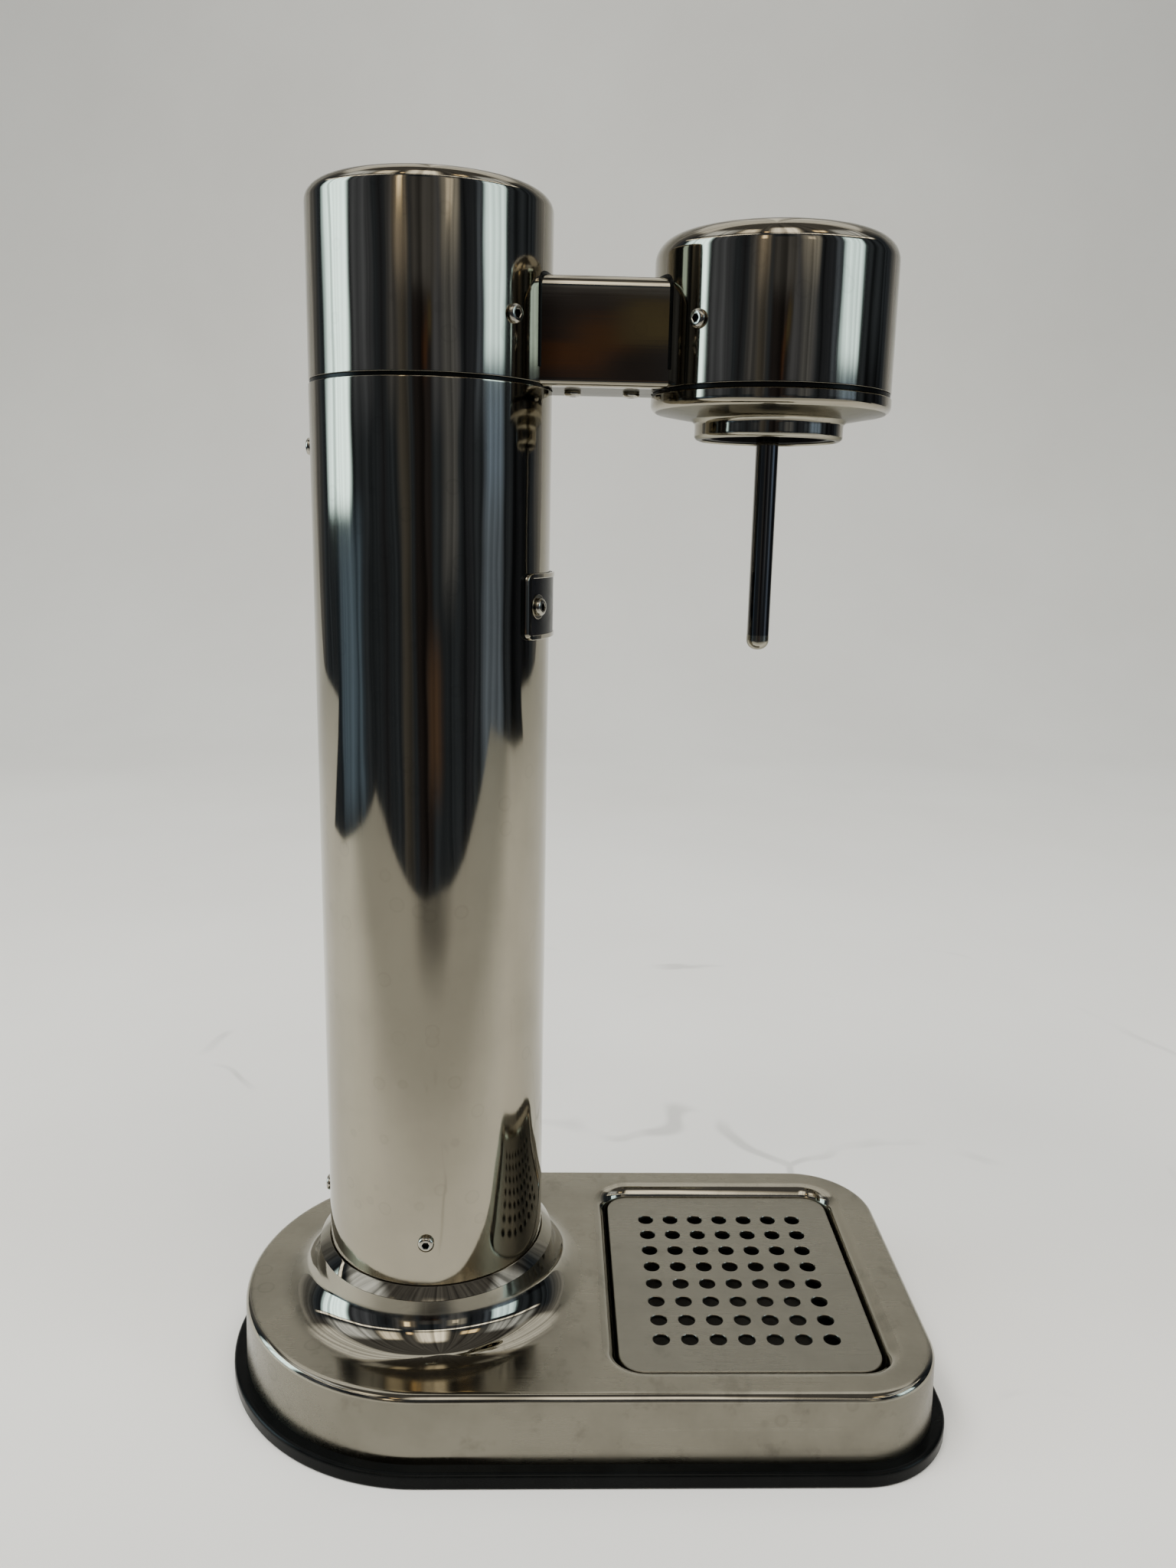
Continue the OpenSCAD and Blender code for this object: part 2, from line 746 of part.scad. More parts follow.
module drip_grille() {
    skirt_in = tray_t + skirt_gap;
    color("#a9a8a3") translate([0, grille_y, grille_z]) {
        difference() {
            linear_extrude(grille_t) rect_shape(grille_w, grille_l, grille_r);
            for (i = [0:drain_nx - 1], j = [0:drain_ny - 1])
                translate([(i - (drain_nx - 1) / 2) * drain_pitch_x,
                    (j - (drain_ny - 1) / 2) * drain_pitch_y, -eps])
                    cylinder(d = drain_d, h = grille_t + 2 * eps);
        }
        translate([0, 0, -skirt_h]) difference() {
            linear_extrude(skirt_h)
                rect_shape(grille_w - 2 * skirt_in, grille_l - 2 * skirt_in, grille_r - skirt_in);
            translate([0, 0, -eps]) linear_extrude(skirt_h + eps)
                rect_shape(grille_w - 2 * (skirt_in + skirt_t), grille_l - 2 * (skirt_in + skirt_t),
                    grille_r - skirt_in - skirt_t);
        }
    }
}

module column_socket() {
    color("#6d7175") difference() {
        translate([0, col_y, plate_z]) union() {
            cylinder(r = socket_r_low, h = tube_z - plate_z);
            cylinder(r = socket_r_top, h = socket_top - plate_z);
        }
        translate([0, col_y, 0]) cylinder(r = socket_ri, h = total_h);
        socket_places() cylinder(r = m4_r + snug, h = plate_z + socket_screw_l);
        for (a = foot_screw_angles)
            radial_hole(a, tube_r, foot_screw_z, col_y, m3_r + snug, tube_r - socket_ri + 2);
    }
}

module socket_screws() {
    color("#c9c9c6") socket_places() translate([0, 0, ring_h]) mirror([0, 0, 1])
        button_screw(m4_r, plate_t + socket_screw_l - 2, big_head_r, low_head_h);
}

module column_tube() {
    color("#c4c4c2") difference() {
        translate([0, col_y, tube_z]) ring(tube_r, tube_ri, seam_z - tube_z);
        for (a = foot_screw_angles)
            radial_hole(a, tube_r, foot_screw_z, col_y, m3_r + screw_gap, tube_t + 2);
        radial_hole(rear_screw_angle, tube_r, rear_screw_z, col_y, m3_r + screw_gap, tube_t + 2);
        for (side = [-1, 1])
            radial_hole(badge_middle + side * badge_screw_a, tube_r, badge_z, col_y,
                badge_screw_r + screw_gap, tube_t + 2);
    }
}

module tube_screws() {
    color("#c9c9c6") {
        for (a = foot_screw_angles) radial(a, tube_r + snug, foot_screw_z, col_y)
            button_screw(m3_r, foot_screw_l);
        radial(rear_screw_angle, tube_r + snug, rear_screw_z, col_y) button_screw(m3_r, rear_screw_l);
    }
}

module cylinder_guide() {
    guide_r = tube_ri - slip;
    color("#26282a") translate([0, col_y, guide_z]) {
        ring(guide_r, guide_r - guide_wall, guide_h);
        difference() {
            for (i = [0:guide_ribs - 1]) rotate([0, 0, i * 360 / guide_ribs])
                translate([0, -guide_rib_t / 2, 0]) cube([guide_r - guide_wall / 2, guide_rib_t, guide_h]);
            translate([0, 0, -eps]) cylinder(r = gas_r + guide_gap, h = guide_h + 2 * eps);
        }
    }
}

module seam_ring() {
    color("#101011") translate([0, col_y, seam_z]) ring(seam_r, seam_ri, seam_h);
}

module gas_cylinder() {
    neck_at = gas_top - gas_neck_h;
    shoulder_steps = 8;
    inner_r = gas_r - gas_t;
    color("#9aa0a6") translate([0, col_y, 0]) rotate_extrude() polygon(concat(
        [[0, gas_z + gas_dimple], [gas_r - 2 * gas_foot_r, gas_z + gas_dimple],
            [gas_r - 1.5 * gas_foot_r, gas_z]],
        arc(gas_r - gas_foot_r, gas_z + gas_foot_r, gas_foot_r, 270, 360, 5),
        [for (i = [0:shoulder_steps])
            let (a = 90 * i / shoulder_steps)
            [gas_neck_r + (gas_r - gas_neck_r) * cos(a), gas_shoulder_z + gas_shoulder_h * sin(a)]],
        [[gas_neck_r, gas_top], [gas_neck_r - gas_neck_t, gas_top],
            [gas_neck_r - gas_neck_t, neck_at - gas_t]],
        [for (i = [shoulder_steps:-1:0])
            let (a = 90 * i / shoulder_steps)
            [gas_neck_r - gas_neck_t + (inner_r - gas_neck_r + gas_neck_t) * cos(a),
                gas_shoulder_z + (gas_shoulder_h - gas_t) * sin(a)]],
        [[inner_r, gas_z + gas_base_t + gas_t], [0, gas_z + gas_base_t + gas_t]]));
}

module cylinder_valve() {
    color("#c2a25a") translate([0, col_y, 0]) difference() {
        union() {
            translate([0, 0, valve_hex_z]) cylinder(r = valve_hex_r, h = valve_low - valve_hex_z, $fn = 6);
            translate([0, 0, valve_hex_z - valve_plug_l])
                cylinder(r = gas_neck_r - gas_neck_t - slip, h = valve_plug_l);
            translate([0, 0, valve_low]) cylinder(r = nose_r, h = seal_z - valve_low);
        }
        translate([0, 0, pin_low - pin_room]) cylinder(r = pin_r + slip, h = total_h);
    }
}

module valve_pin() {
    color("#b8bcc0") translate([0, col_y, pin_low]) cylinder(r = pin_r, h = pin_top - pin_low);
}

module top_frame() {
    color("#777b80") difference() {
        translate([0, col_y, 0]) union() {
            translate([0, 0, skirt_low]) ring(tube_ri - slip, skirt_ri, seam_z - skirt_low);
            translate([0, 0, frame_low]) cylinder(r = tube_ri - slip, h = seam_z - frame_low);
            translate([0, 0, frame_low]) cylinder(r = seam_ri - slip, h = frame_top - frame_low);
            translate([0, 0, cap_z]) cylinder(r = frame_r, h = frame_top - cap_z);
            for (a = cap_screw_angles) rotate([0, 0, a]) translate([post_at, 0, cap_z])
                cylinder(r = post_r, h = frame_top + post_h - cap_z);
            for (side = [-1, 1])
                translate([side > 0 ? pillar_x : -pillar_x - pillar_t, -pillar_half, cap_z])
                    cube([pillar_t, 2 * pillar_half, pillar_top - cap_z]);
        }
        translate([0, col_y, 0]) cylinder(r = valve_r + slip, h = total_h);
        translate([-half_w, col_y, lever_z]) rotate([0, 90, 0]) cylinder(r = bush_r + snug, h = base_w);
        for (a = cap_screw_angles) radial_hole(a, cap_r, side_screw_z, col_y, m3_r + snug, side_hole_l);
        radial_hole(rear_screw_angle, tube_r, rear_screw_z, col_y, m3_r + snug, rear_hole_l);
        beam_bolt_places() translate([0, 0, frame_top - beam_hole_l])
            cylinder(r = m3_r + snug, h = beam_hole_l + eps);
        valve_bolt_places() translate([0, 0, frame_top - valve_hole_l])
            cylinder(r = m3_r + snug, h = valve_hole_l + eps);
    }
}

module column_cap() {
    color("#c9c9c7") difference() {
        translate([0, col_y, 0]) round_cup(cap_r, cap_t, cap_z, total_h, cap_edge_r);
        arm_window();
        for (a = cap_screw_angles)
            radial_hole(a, cap_r, side_screw_z, col_y, m3_r + screw_gap, cap_t + 2);
        translate([0, col_y, lever_z]) rotate([0, 90, 0]) cylinder(r = housing_r + screw_gap, h = base_w);
    }
}

module cap_screws() {
    color("#c9c9c6") for (a = cap_screw_angles) radial(a, cap_r + snug, side_screw_z, col_y)
        button_screw(m3_r, side_screw_l);
}

// Shell about the column's axis, cut to the outline of a badge plate
module badge_shell(ri, ro, half_a, h, corner) {
    intersection() {
        translate([0, col_y, badge_z - h]) ring(ro, ri, 2 * h);
        translate([0, col_y, badge_z]) rotate([90, 0, 0]) linear_extrude(cap_d)
            rect_shape(2 * ro * sin(half_a), h, corner);
    }
}

module badge_screw_holes() {
    for (side = [-1, 1])
        radial_hole(badge_middle + side * badge_screw_a, tube_r + 4, badge_z, col_y,
            badge_screw_r + screw_gap, 8);
}

module badge_backing() {
    color("#8a8a87") difference() {
        badge_shell(tube_r + snug, tube_r + snug + backing_t, backing_a, badge_h, badge_corner);
        badge_screw_holes();
    }
}

module badge_plate() {
    rim_r = badge_r + badge_t + badge_rim_t;
    color("#c9c9c7") difference() {
        badge_shell(badge_r, rim_r, badge_a, badge_h, badge_corner);
        difference() {
            translate([0, col_y, badge_z]) rotate([90, 0, 0]) linear_extrude(cap_d)
                rect_shape(2 * (rim_r * sin(badge_a) - badge_rim_w), badge_h - 2 * badge_rim_w,
                    badge_corner - badge_rim_w / 2);
            translate([0, col_y, badge_z - badge_h]) cylinder(r = badge_r + badge_t, h = 2 * badge_h);
            for (side = [-1, 1])
                radial(badge_middle + side * badge_screw_a, tube_r, badge_z, col_y)
                    cylinder(r = badge_pad_r, h = 5);
        }
        badge_screw_holes();
    }
}

module badge_screws() {
    color("#c9c9c6") for (side = [-1, 1])
        radial(badge_middle + side * badge_screw_a, badge_r + badge_t + badge_rim_t + snug, badge_z, col_y)
            button_screw(badge_screw_r, badge_screw_l, head_r, head_h);
}

module valve_block() {
    color("#b8975a") difference() {
        translate([0, col_y, 0]) union() {
            translate([0, 0, valve_low]) cylinder(r = valve_r, h = frame_top - valve_low);
            translate([0, 0, frame_top]) cylinder(r = valve_flange_r, h = valve_flange_t);
            translate([-outlet_half, -outlet_far, frame_top])
                cube([2 * outlet_half, outlet_far - outlet_near, pipe_z + outlet_half - frame_top]);
        }
        translate([0, col_y, valve_low - eps]) cylinder(r = nose_r + slip, h = seal_z - valve_low + eps);
        translate([0, col_y, valve_low]) cylinder(r = nose_r - snug, h = seal_z + seal_t - valve_low);
        translate([0, col_y, valve_low]) cylinder(r = plunger_r + snug, h = total_h);
        translate([0, col_y - outlet_far - eps, pipe_z]) rotate([-90, 0, 0])
            cylinder(r = pipe_r + snug, h = pipe_seat + eps);
        valve_bolt_places() cylinder(r = m3_r + screw_gap, h = total_h);
        translate([relief_x, col_y + relief_y, frame_top - relief_hole_l])
            cylinder(r = relief_r, h = relief_hole_l + valve_flange_t + eps);
    }
}

module valve_seal() {
    color("#161616") translate([0, col_y, seal_z]) ring(nose_r - slip, pin_r + 1.2, seal_t);
}

module plunger() {
    color("#d0d2d3") translate([0, col_y, 0]) {
        translate([0, 0, plunger_low]) cylinder(r = plunger_r, h = plunger_top - plunger_low);
        translate([0, 0, plunger_top - plunger_head_t]) cylinder(r = plunger_head_r, h = plunger_head_t);
    }
}

module plunger_spring() {
    n = spring_turns * spring_steps;
    low = flange_top + spring_wire_r + slip;
    rise = plunger_top - plunger_head_t - spring_wire_r - slip - low;
    points = [for (i = [0:n])
        each helix_ring(i, n, spring_r, rise, spring_turns, spring_wire_r, spring_sides)];
    sides = [for (i = [0:n - 1], j = [0:spring_sides - 1])
        let (a = i * spring_sides + j, b = i * spring_sides + (j + 1) % spring_sides)
        each [[a, b, b + spring_sides], [a, b + spring_sides, a + spring_sides]]];
    ends = [[for (j = [spring_sides - 1:-1:0]) j],
        [for (j = [0:spring_sides - 1]) n * spring_sides + j]];
    color("#9b9ea1") translate([0, col_y, low])
        polyhedron(points = points,
            faces = [for (f = concat(sides, ends)) [for (k = [len(f) - 1:-1:0]) f[k]]]);
}

module relief_valve() {
    color("#c2a25a") translate([relief_x, col_y + relief_y, 0]) {
        translate([0, 0, flange_top]) cylinder(r = relief_hex_r, h = relief_hex_h, $fn = 6);
        translate([0, 0, flange_top + relief_hex_h]) cylinder(r = relief_cap_r, h = relief_cap_h);
        translate([0, 0, frame_top - relief_stem_l])
            cylinder(r = relief_r - snug, h = valve_flange_t + relief_stem_l);
    }
}

module frame_screws() {
    color("#c9c9c6") {
        beam_bolt_places() translate([0, 0, beam_z + beam_t])
            button_screw(m3_r, beam_t + frame_screw_l, cap_head_r, head_h);
        valve_bolt_places() translate([0, 0, flange_top])
            button_screw(m3_r, valve_flange_t + valve_screw_l, cap_head_r, head_h);
    }
}

module arm_beam() {
    boss_low = arm_z + arm_plate_t;
    color("#7f8387") difference() {
        union() {
            translate([-beam_half, beam_front, beam_z])
                cube([2 * beam_half, beam_rear - beam_front, beam_t]);
            for (side = [-1, 1])
                translate([side > 0 ? beam_half - beam_wall : -beam_half, beam_front, beam_z])
                    cube([beam_wall, beam_rear - beam_front, beam_h]);
            arm_screw_places() translate([0, 0, boss_low])
                cylinder(r = arm_boss_r, h = beam_z + beam_t - boss_low);
        }
        arm_screw_places() cylinder(r = m3_r + snug, h = total_h);
        beam_bolt_places() cylinder(r = m3_r + screw_gap, h = total_h);
    }
}

// Room that the column and the drum take out of the low parts of the arm
module arm_ends(h) {
    translate([0, col_y, arm_z - eps]) cylinder(r = column_out + screw_gap, h = h);
    translate([0, head_y, arm_z - eps]) cylinder(r = drum_r + screw_gap, h = h);
}

module arm_cover() {
    color("#6e675f") difference() {
        arm_bar(arm_front, arm_rear) difference() {
            arm_section();
            translate([arm_t - arm_w / 2, arm_z + arm_t])
                square([arm_w - 2 * arm_t, arm_top - arm_z - 2 * arm_t]);
            translate([arm_lip - arm_w / 2, arm_z - eps]) square([arm_w - 2 * arm_lip, 3 * eps + arm_t]);
        }
        arm_ends(window_z - arm_z + eps + arm_step);
    }
}

module arm_bottom_plate() {
    plate_half = arm_w / 2 - arm_lip - slip;
    color("#c4c1b8") difference() {
        translate([-plate_half, head_y, arm_z]) cube([2 * plate_half, reach, arm_plate_t]);
        arm_ends(base_h);
        arm_screw_places() cylinder(r = m3_r + screw_gap, h = total_h);
    }
}

module arm_screws() {
    color("#c9c9c6") arm_screw_places() translate([0, 0, arm_z]) mirror([0, 0, 1])
        button_screw(m3_r, arm_screw_l, plate_head_r, head_h - slip);
}

module arm_gaskets() {
    color("#101011") intersection() {
        difference() {
            arm_bar(head_y, col_y) arm_section(window_gap - gasket_fit);
            arm_bar(head_y - eps, col_y + eps) arm_section(gasket_fit);
        }
        translate([-arm_w, head_y, window_z + slip]) cube([2 * arm_w, reach, total_h]);
        union() {
            translate([0, col_y, window_z]) ring(cap_r + gasket_out, cap_ri - gasket_out, arm_top);
            translate([0, head_y, window_z]) ring(drum_r + gasket_out, drum_ri - gasket_out, arm_top);
        }
    }
}

module gas_pipe() {
    y_front = head_y + holder_port_l - pipe_seat;
    y_rear = col_y - outlet_far + pipe_seat;
    color("#2c2f33") translate([0, y_rear, pipe_z]) rotate([90, 0, 0])
        ring(pipe_r, pipe_ri, y_rear - y_front);
}

module head_frame() {
    color("#777b80") difference() {
        translate([0, head_y, 0]) union() {
            translate([0, 0, drum_z]) cylinder(r = head_frame_r, h = frame_top - drum_z);
            for (a = drum_screw_angles) rotate([0, 0, a]) translate([head_post_at, 0, drum_z])
                cylinder(r = post_r, h = frame_top + post_h - drum_z);
        }
        translate([0, head_y, 0]) cylinder(r = head_hole_r, h = total_h);
        for (a = drum_screw_angles)
            radial_hole(a, drum_r, side_screw_z, head_y, m3_r + snug, side_hole_l);
        beam_bolt_places() translate([0, 0, frame_top - beam_hole_l])
            cylinder(r = m3_r + snug, h = beam_hole_l + eps);
        collar_screw_places() translate([0, 0, drum_z - eps])
            cylinder(r = m3_r + screw_gap, h = frame_top - drum_z + 2 * eps);
    }
}

module head_drum() {
    color("#c9c9c7") difference() {
        translate([0, head_y, 0]) round_cup(drum_r, cap_t, drum_z, drum_top, drum_edge_r);
        arm_window();
        for (a = drum_screw_angles)
            radial_hole(a, drum_r, side_screw_z, head_y, m3_r + screw_gap, cap_t + 2);
    }
}

module drum_screws() {
    color("#c9c9c6") for (a = drum_screw_angles) radial(a, drum_r + snug, side_screw_z, head_y)
        button_screw(m3_r, side_screw_l);
}

module drum_gasket() {
    color("#101011") translate([0, head_y, collar_z]) ring(drum_r - 0.3, collar_seat_r + 0.2, gasket_t);
}

module bottle_collar() {
    rim_round = 2.5;
    rim_low = collar_z - rim_h;
    lip_round = 1.7;
    neck_fillet = 2.2;
    neck_top = neck_z + 4.4;
    color("#c6c4bd") difference() {
        translate([0, head_y, 0]) rotate_extrude() polygon(concat(
            [[mouth_r, drum_z], [mouth_r, neck_z + 0.5], [mouth_r + 0.5, neck_z]],
            arc(neck_r - lip_round, neck_z + lip_round, lip_round, 270, 360, 5),
            arc(neck_r + neck_fillet, neck_top, neck_fillet, 180, 102, 5),
            arc(rim_r - rim_round, rim_low, rim_round, 282, 360, 5),
            [[rim_r, collar_z], [collar_seat_r, collar_z], [collar_seat_r, drum_z]]));
        collar_screw_places() translate([0, 0, drum_z - collar_hole_l])
            cylinder(r = m3_r + snug, h = collar_hole_l + eps);
    }
}

module collar_screws() {
    color("#c9c9c6") collar_screw_places() translate([0, 0, frame_top])
        button_screw(m3_r, frame_top - drum_z + frame_screw_l, cap_head_r, head_h);
}

module thread_insert() {
    color("#1b1b1d") translate([0, head_y, 0]) {
        difference() {
            union() {
                translate([0, 0, insert_z]) cylinder(r = insert_r, h = frame_top - insert_z);
                translate([0, 0, frame_top]) cylinder(r = insert_flange_r, h = insert_flange_t);
            }
            translate([0, 0, insert_z - eps]) cylinder(r = insert_ri, h = frame_top - insert_z + eps);
            cylinder(r = insert_hole_r, h = total_h);
        }
        for (a = [0:120:240]) rotate([0, 0, a]) translate([0, 0, lug_z]) rotate_extrude(angle = lug_a)
            translate([lug_r, 0]) square([insert_ri - lug_r + eps, lug_h]);
    }
}

module bottle_seal() {
    color("#0d0d0e") translate([0, head_y, frame_top - seal_h])
        ring(insert_ri - slip, insert_hole_r + 0.7, seal_h);
}

module nozzle_holder() {
    color("#b8975a") translate([0, head_y, 0]) difference() {
        union() {
            translate([0, 0, holder_low]) cylinder(r = holder_r, h = frame_top + 4 - holder_low);
            translate([0, 0, frame_top + insert_flange_t])
                cylinder(r = holder_flange_r, h = holder_flange_t);
            translate([0, 0, frame_top]) cylinder(r = holder_body_r, h = holder_top - frame_top);
            translate([0, 0, pipe_z]) rotate([-90, 0, 0]) cylinder(r = holder_port_r, h = holder_port_l);
        }
        translate([0, 0, holder_low - eps])
            cylinder(r = nozzle_r + snug, h = nozzle_top + slip - holder_low + eps);
        translate([0, 0, nozzle_top - 2]) cylinder(r = pipe_ri, h = pipe_z - nozzle_top + 2);
        translate([0, holder_port_l - pipe_seat - 0.2, pipe_z]) rotate([-90, 0, 0])
            cylinder(r = pipe_r + snug, h = pipe_seat + 1);
        translate([0, 0, pipe_z]) rotate([-90, 0, 0]) cylinder(r = pipe_ri, h = holder_port_l);
    }
}

module nozzle_tube() {
    color("#55575a") translate([0, head_y, tip_z]) ring(nozzle_r, nozzle_ri, nozzle_top - tip_z);
}

module nozzle_tip() {
    tip_round = nozzle_r - 0.6;
    color("#cfcdc6") translate([0, head_y, 0]) difference() {
        rotate_extrude() polygon(concat(
            [[0, nozzle_z]],
            arc(nozzle_r - tip_round, nozzle_z + tip_round, tip_round, 270, 360, 6),
            [[nozzle_r, tip_z], [nozzle_ri - snug, tip_z]],
            [[nozzle_ri - snug, tip_z + tip_spigot_l], [0, tip_z + tip_spigot_l]]));
        translate([0, 0, nozzle_z - eps]) cylinder(r = tip_bore_r, h = tip_l + tip_spigot_l + 2 * eps);
    }
}

// Lies along the lever's axis: a child's +Z points out of the side with the lever
module along_axis(x) {
    translate([x, col_y, lever_z]) rotate([0, 90, 0]) children();
}

module lever_shaft() {
    shaft_low = -pillar_x - pillar_t - 1;
    cam_half = 6;
    color("#a7abae") difference() {
        union() {
            along_axis(shaft_low) cylinder(r = shaft_r, h = shaft_end - shaft_low);
            translate([0, -cam_throw, 0]) along_axis(-cam_half) cylinder(r = cam_r, h = 2 * cam_half);
        }
        along_axis(shaft_end - lever_screw_l) cylinder(r = m4_r + snug, h = lever_screw_l + 2);
    }
}

module shaft_bushes() {
    color("#a5814a") for (side = [-1, 1]) {
        along_axis(side > 0 ? pillar_x : -pillar_x - pillar_t) ring(bush_r, shaft_r + snug, pillar_t);
        along_axis(side > 0 ? pillar_x - bush_flange_t : -pillar_x)
            ring(bush_flange_r, shaft_r + snug, bush_flange_t);
    }
}

module shaft_housing() {
    color("#b9bab8") along_axis(pillar_x + pillar_t)
        ring(housing_r, shaft_r + 0.5, housing_x - pillar_x - pillar_t);
}

module lever_bar() {
    color("#c9c9c7") difference() {
        translate([bar_x, col_y, lever_z]) rotate([90, 0, 90]) linear_extrude(bar_t) {
            circle(hub_r);
            translate([-lever_l, 0]) circle(bar_end_r);
            polygon([[0, -bar_half - 1], [0, bar_half + 1], [-lever_l, bar_half], [-lever_l, -bar_half]]);
        }
        along_axis(0) cylinder(r = shaft_r + snug, h = base_w);
        translate([0, -lever_l, 0]) along_axis(0) cylinder(r = m4_r + screw_gap, h = base_w);
        translate([0, -lever_l, 0]) along_axis(0)
            cylinder(r = big_head_r + 2 * slip, h = bar_x + knob_head_t + 2 * slip);
    }
}

module lever_knob() {
    color("#c9c9c7") translate([0, -lever_l, 0]) along_axis(knob_x) difference() {
        rotate_extrude() polygon(concat(
            [[0, 0], [knob_d / 2 - 1.5, 0], [knob_d / 2, 1.5]],
            arc(knob_d / 2 - knob_round, knob_l - knob_round, knob_round, 0, 90, 6),
            [[0, knob_l]]));
        translate([0, 0, -eps]) cylinder(r = m4_r + snug, h = knob_screw_l + eps);
    }
}

module lever_screw() {
    color("#c9c9c6") along_axis(bar_x + bar_t)
        button_screw(m4_r, lever_screw_l - 1, lever_head_r, lever_head_h);
}

module knob_screw() {
    color("#c9c9c6") translate([0, -lever_l, 0]) along_axis(bar_x + knob_head_t) mirror([0, 0, 1])
        button_screw(m4_r, knob_screw_l + 2, big_head_r, knob_head_t - slip);
}

foot_ring();
base_shell();
base_plate();
base_frame();
base_screws();
drip_tray();
drip_grille();
column_socket();
socket_screws();
column_tube();
tube_screws();
cylinder_guide();
seam_ring();
gas_cylinder();
cylinder_valve();
valve_pin();
top_frame();
column_cap();
cap_screws();
badge_backing();
badge_plate();
badge_screws();
valve_block();
valve_seal();
plunger();
plunger_spring();
relief_valve();
frame_screws();
arm_beam();
arm_cover();
arm_bottom_plate();
arm_screws();
arm_gaskets();
gas_pipe();
head_frame();
head_drum();
drum_screws();
drum_gasket();
bottle_collar();
collar_screws();
thread_insert();
bottle_seal();
nozzle_holder();
nozzle_tube();
nozzle_tip();
lever_shaft();
shaft_bushes();
shaft_housing();
lever_bar();
lever_knob();
lever_screw();
knob_screw();
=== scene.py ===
"""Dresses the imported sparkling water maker: finer meshes, materials, floor, light and camera."""
import json
import math

import bmesh
import bpy
from mathutils import Matrix, Vector, geometry


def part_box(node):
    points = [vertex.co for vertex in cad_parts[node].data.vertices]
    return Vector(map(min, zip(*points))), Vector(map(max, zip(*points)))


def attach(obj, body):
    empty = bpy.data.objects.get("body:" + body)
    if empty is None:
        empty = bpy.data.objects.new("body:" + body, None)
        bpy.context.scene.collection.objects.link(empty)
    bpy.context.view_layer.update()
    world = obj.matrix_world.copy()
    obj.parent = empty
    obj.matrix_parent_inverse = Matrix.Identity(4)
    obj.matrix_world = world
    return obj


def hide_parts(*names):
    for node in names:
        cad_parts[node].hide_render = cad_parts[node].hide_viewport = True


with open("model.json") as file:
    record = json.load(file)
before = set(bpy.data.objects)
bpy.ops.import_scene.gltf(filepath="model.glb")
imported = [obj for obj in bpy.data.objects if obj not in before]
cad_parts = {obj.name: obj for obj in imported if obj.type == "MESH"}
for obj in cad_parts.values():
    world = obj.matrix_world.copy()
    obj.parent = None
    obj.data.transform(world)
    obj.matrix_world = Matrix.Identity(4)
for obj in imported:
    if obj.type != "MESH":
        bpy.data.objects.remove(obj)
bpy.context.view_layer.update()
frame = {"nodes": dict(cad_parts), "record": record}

MM = 0.001


def span(name, axis):
    """Lowest and highest place of a CAD node along one axis, in millimetres."""
    low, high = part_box(name)
    return low[axis] / MM, high[axis] / MM


def middle(name, axis):
    return sum(span(name, axis)) / 2


def half(name, axis):
    low, high = span(name, axis)
    return (high - low) / 2


# Sizes and places in millimetres, read from the frame
COL_Y = middle("column_cap", 1)
HEAD_Y = middle("head_drum", 1)
HALF_W = half("foot_ring", 0)
HALF_D = half("foot_ring", 1)
RING_H = span("foot_ring", 2)[1]
LIP_Z = span("base_shell", 2)[1]
GRILLE_Y = middle("drip_grille", 1)
GRILLE_W = 2 * half("drip_grille", 0)
GRILLE_L = 2 * half("drip_grille", 1)
GRILLE_LOW, GRILLE_TOP = span("drip_grille", 2)
TUBE_R = half("column_tube", 0)
TUBE_Z, SEAM_Z = span("column_tube", 2)
SEAM_R = half("seam_ring", 0)
CAP_R = half("column_cap", 0)
CAP_Z, TOTAL_H = span("column_cap", 2)
DRUM_R = half("head_drum", 0)
DRUM_Z, DRUM_TOP = span("head_drum", 2)
COLLAR_Z = span("drum_gasket", 2)[0]
RIM_R = half("bottle_collar", 0)
NECK_Z = span("bottle_collar", 2)[0]
ARM_W = 2 * half("arm_cover", 0)
ARM_Z, ARM_TOP = span("arm_cover", 2)
ARM_FRONT, ARM_REAR = span("arm_cover", 1)
LEVER_Z = middle("shaft_housing", 2)
HOUSING_R = half("shaft_housing", 2)
HOUSING_IN, HOUSING_OUT = span("shaft_housing", 0)
BAR_X, BAR_OUT = span("lever_bar", 0)
KNOB_Y = middle("lever_knob", 1)
KNOB_R = half("lever_knob", 2)
KNOB_IN, KNOB_OUT = span("lever_knob", 0)
NOZZLE_R = half("nozzle_tube", 0)
TIP_Z, NOZZLE_TOP = span("nozzle_tube", 2)
NOZZLE_Z = span("nozzle_tip", 2)[0]
BADGE_Z = middle("badge_plate", 2)
BADGE_H = 2 * half("badge_plate", 2)
GAS_R = half("gas_cylinder", 0)
GAS_Z, GAS_TOP = span("gas_cylinder", 2)

# Sizes in millimetres that the nodes' boxes don't give
GRILLE_T = 1.5
GRILLE_DROP = 3.5
GRILLE_R = 9.0
DRAIN_R = 3.0
DRAIN_COLUMNS = 8
DRAIN_ROWS = 7
DRAIN_PITCH_X = 10.8
DRAIN_PITCH_Y = 10.3
BASE_H = GRILLE_TOP + GRILLE_DROP
CORNER_R = 36.0
CORNER_Y = CORNER_R - HALF_D
RING_IN = 4.6
RING_W = 18.0
BASE_LEAN = 0.6
EDGE_R = 3.0
SHEET = 1.2
FLARE_R = 15.5
LIP_R = TUBE_R + 4.15
FLARE_EDGE = LIP_R + FLARE_R
WELL_GAP = 1.0
WELL_ROLL = 6.5
WELL_WALL_Z = BASE_H - WELL_ROLL
WELL_SKIRT = 10.0
TUBE_T = 1.5
CAP_T = 1.2
CAP_EDGE_R = 4.7
DRUM_EDGE_R = 7.0
SEAM_W = 6.0
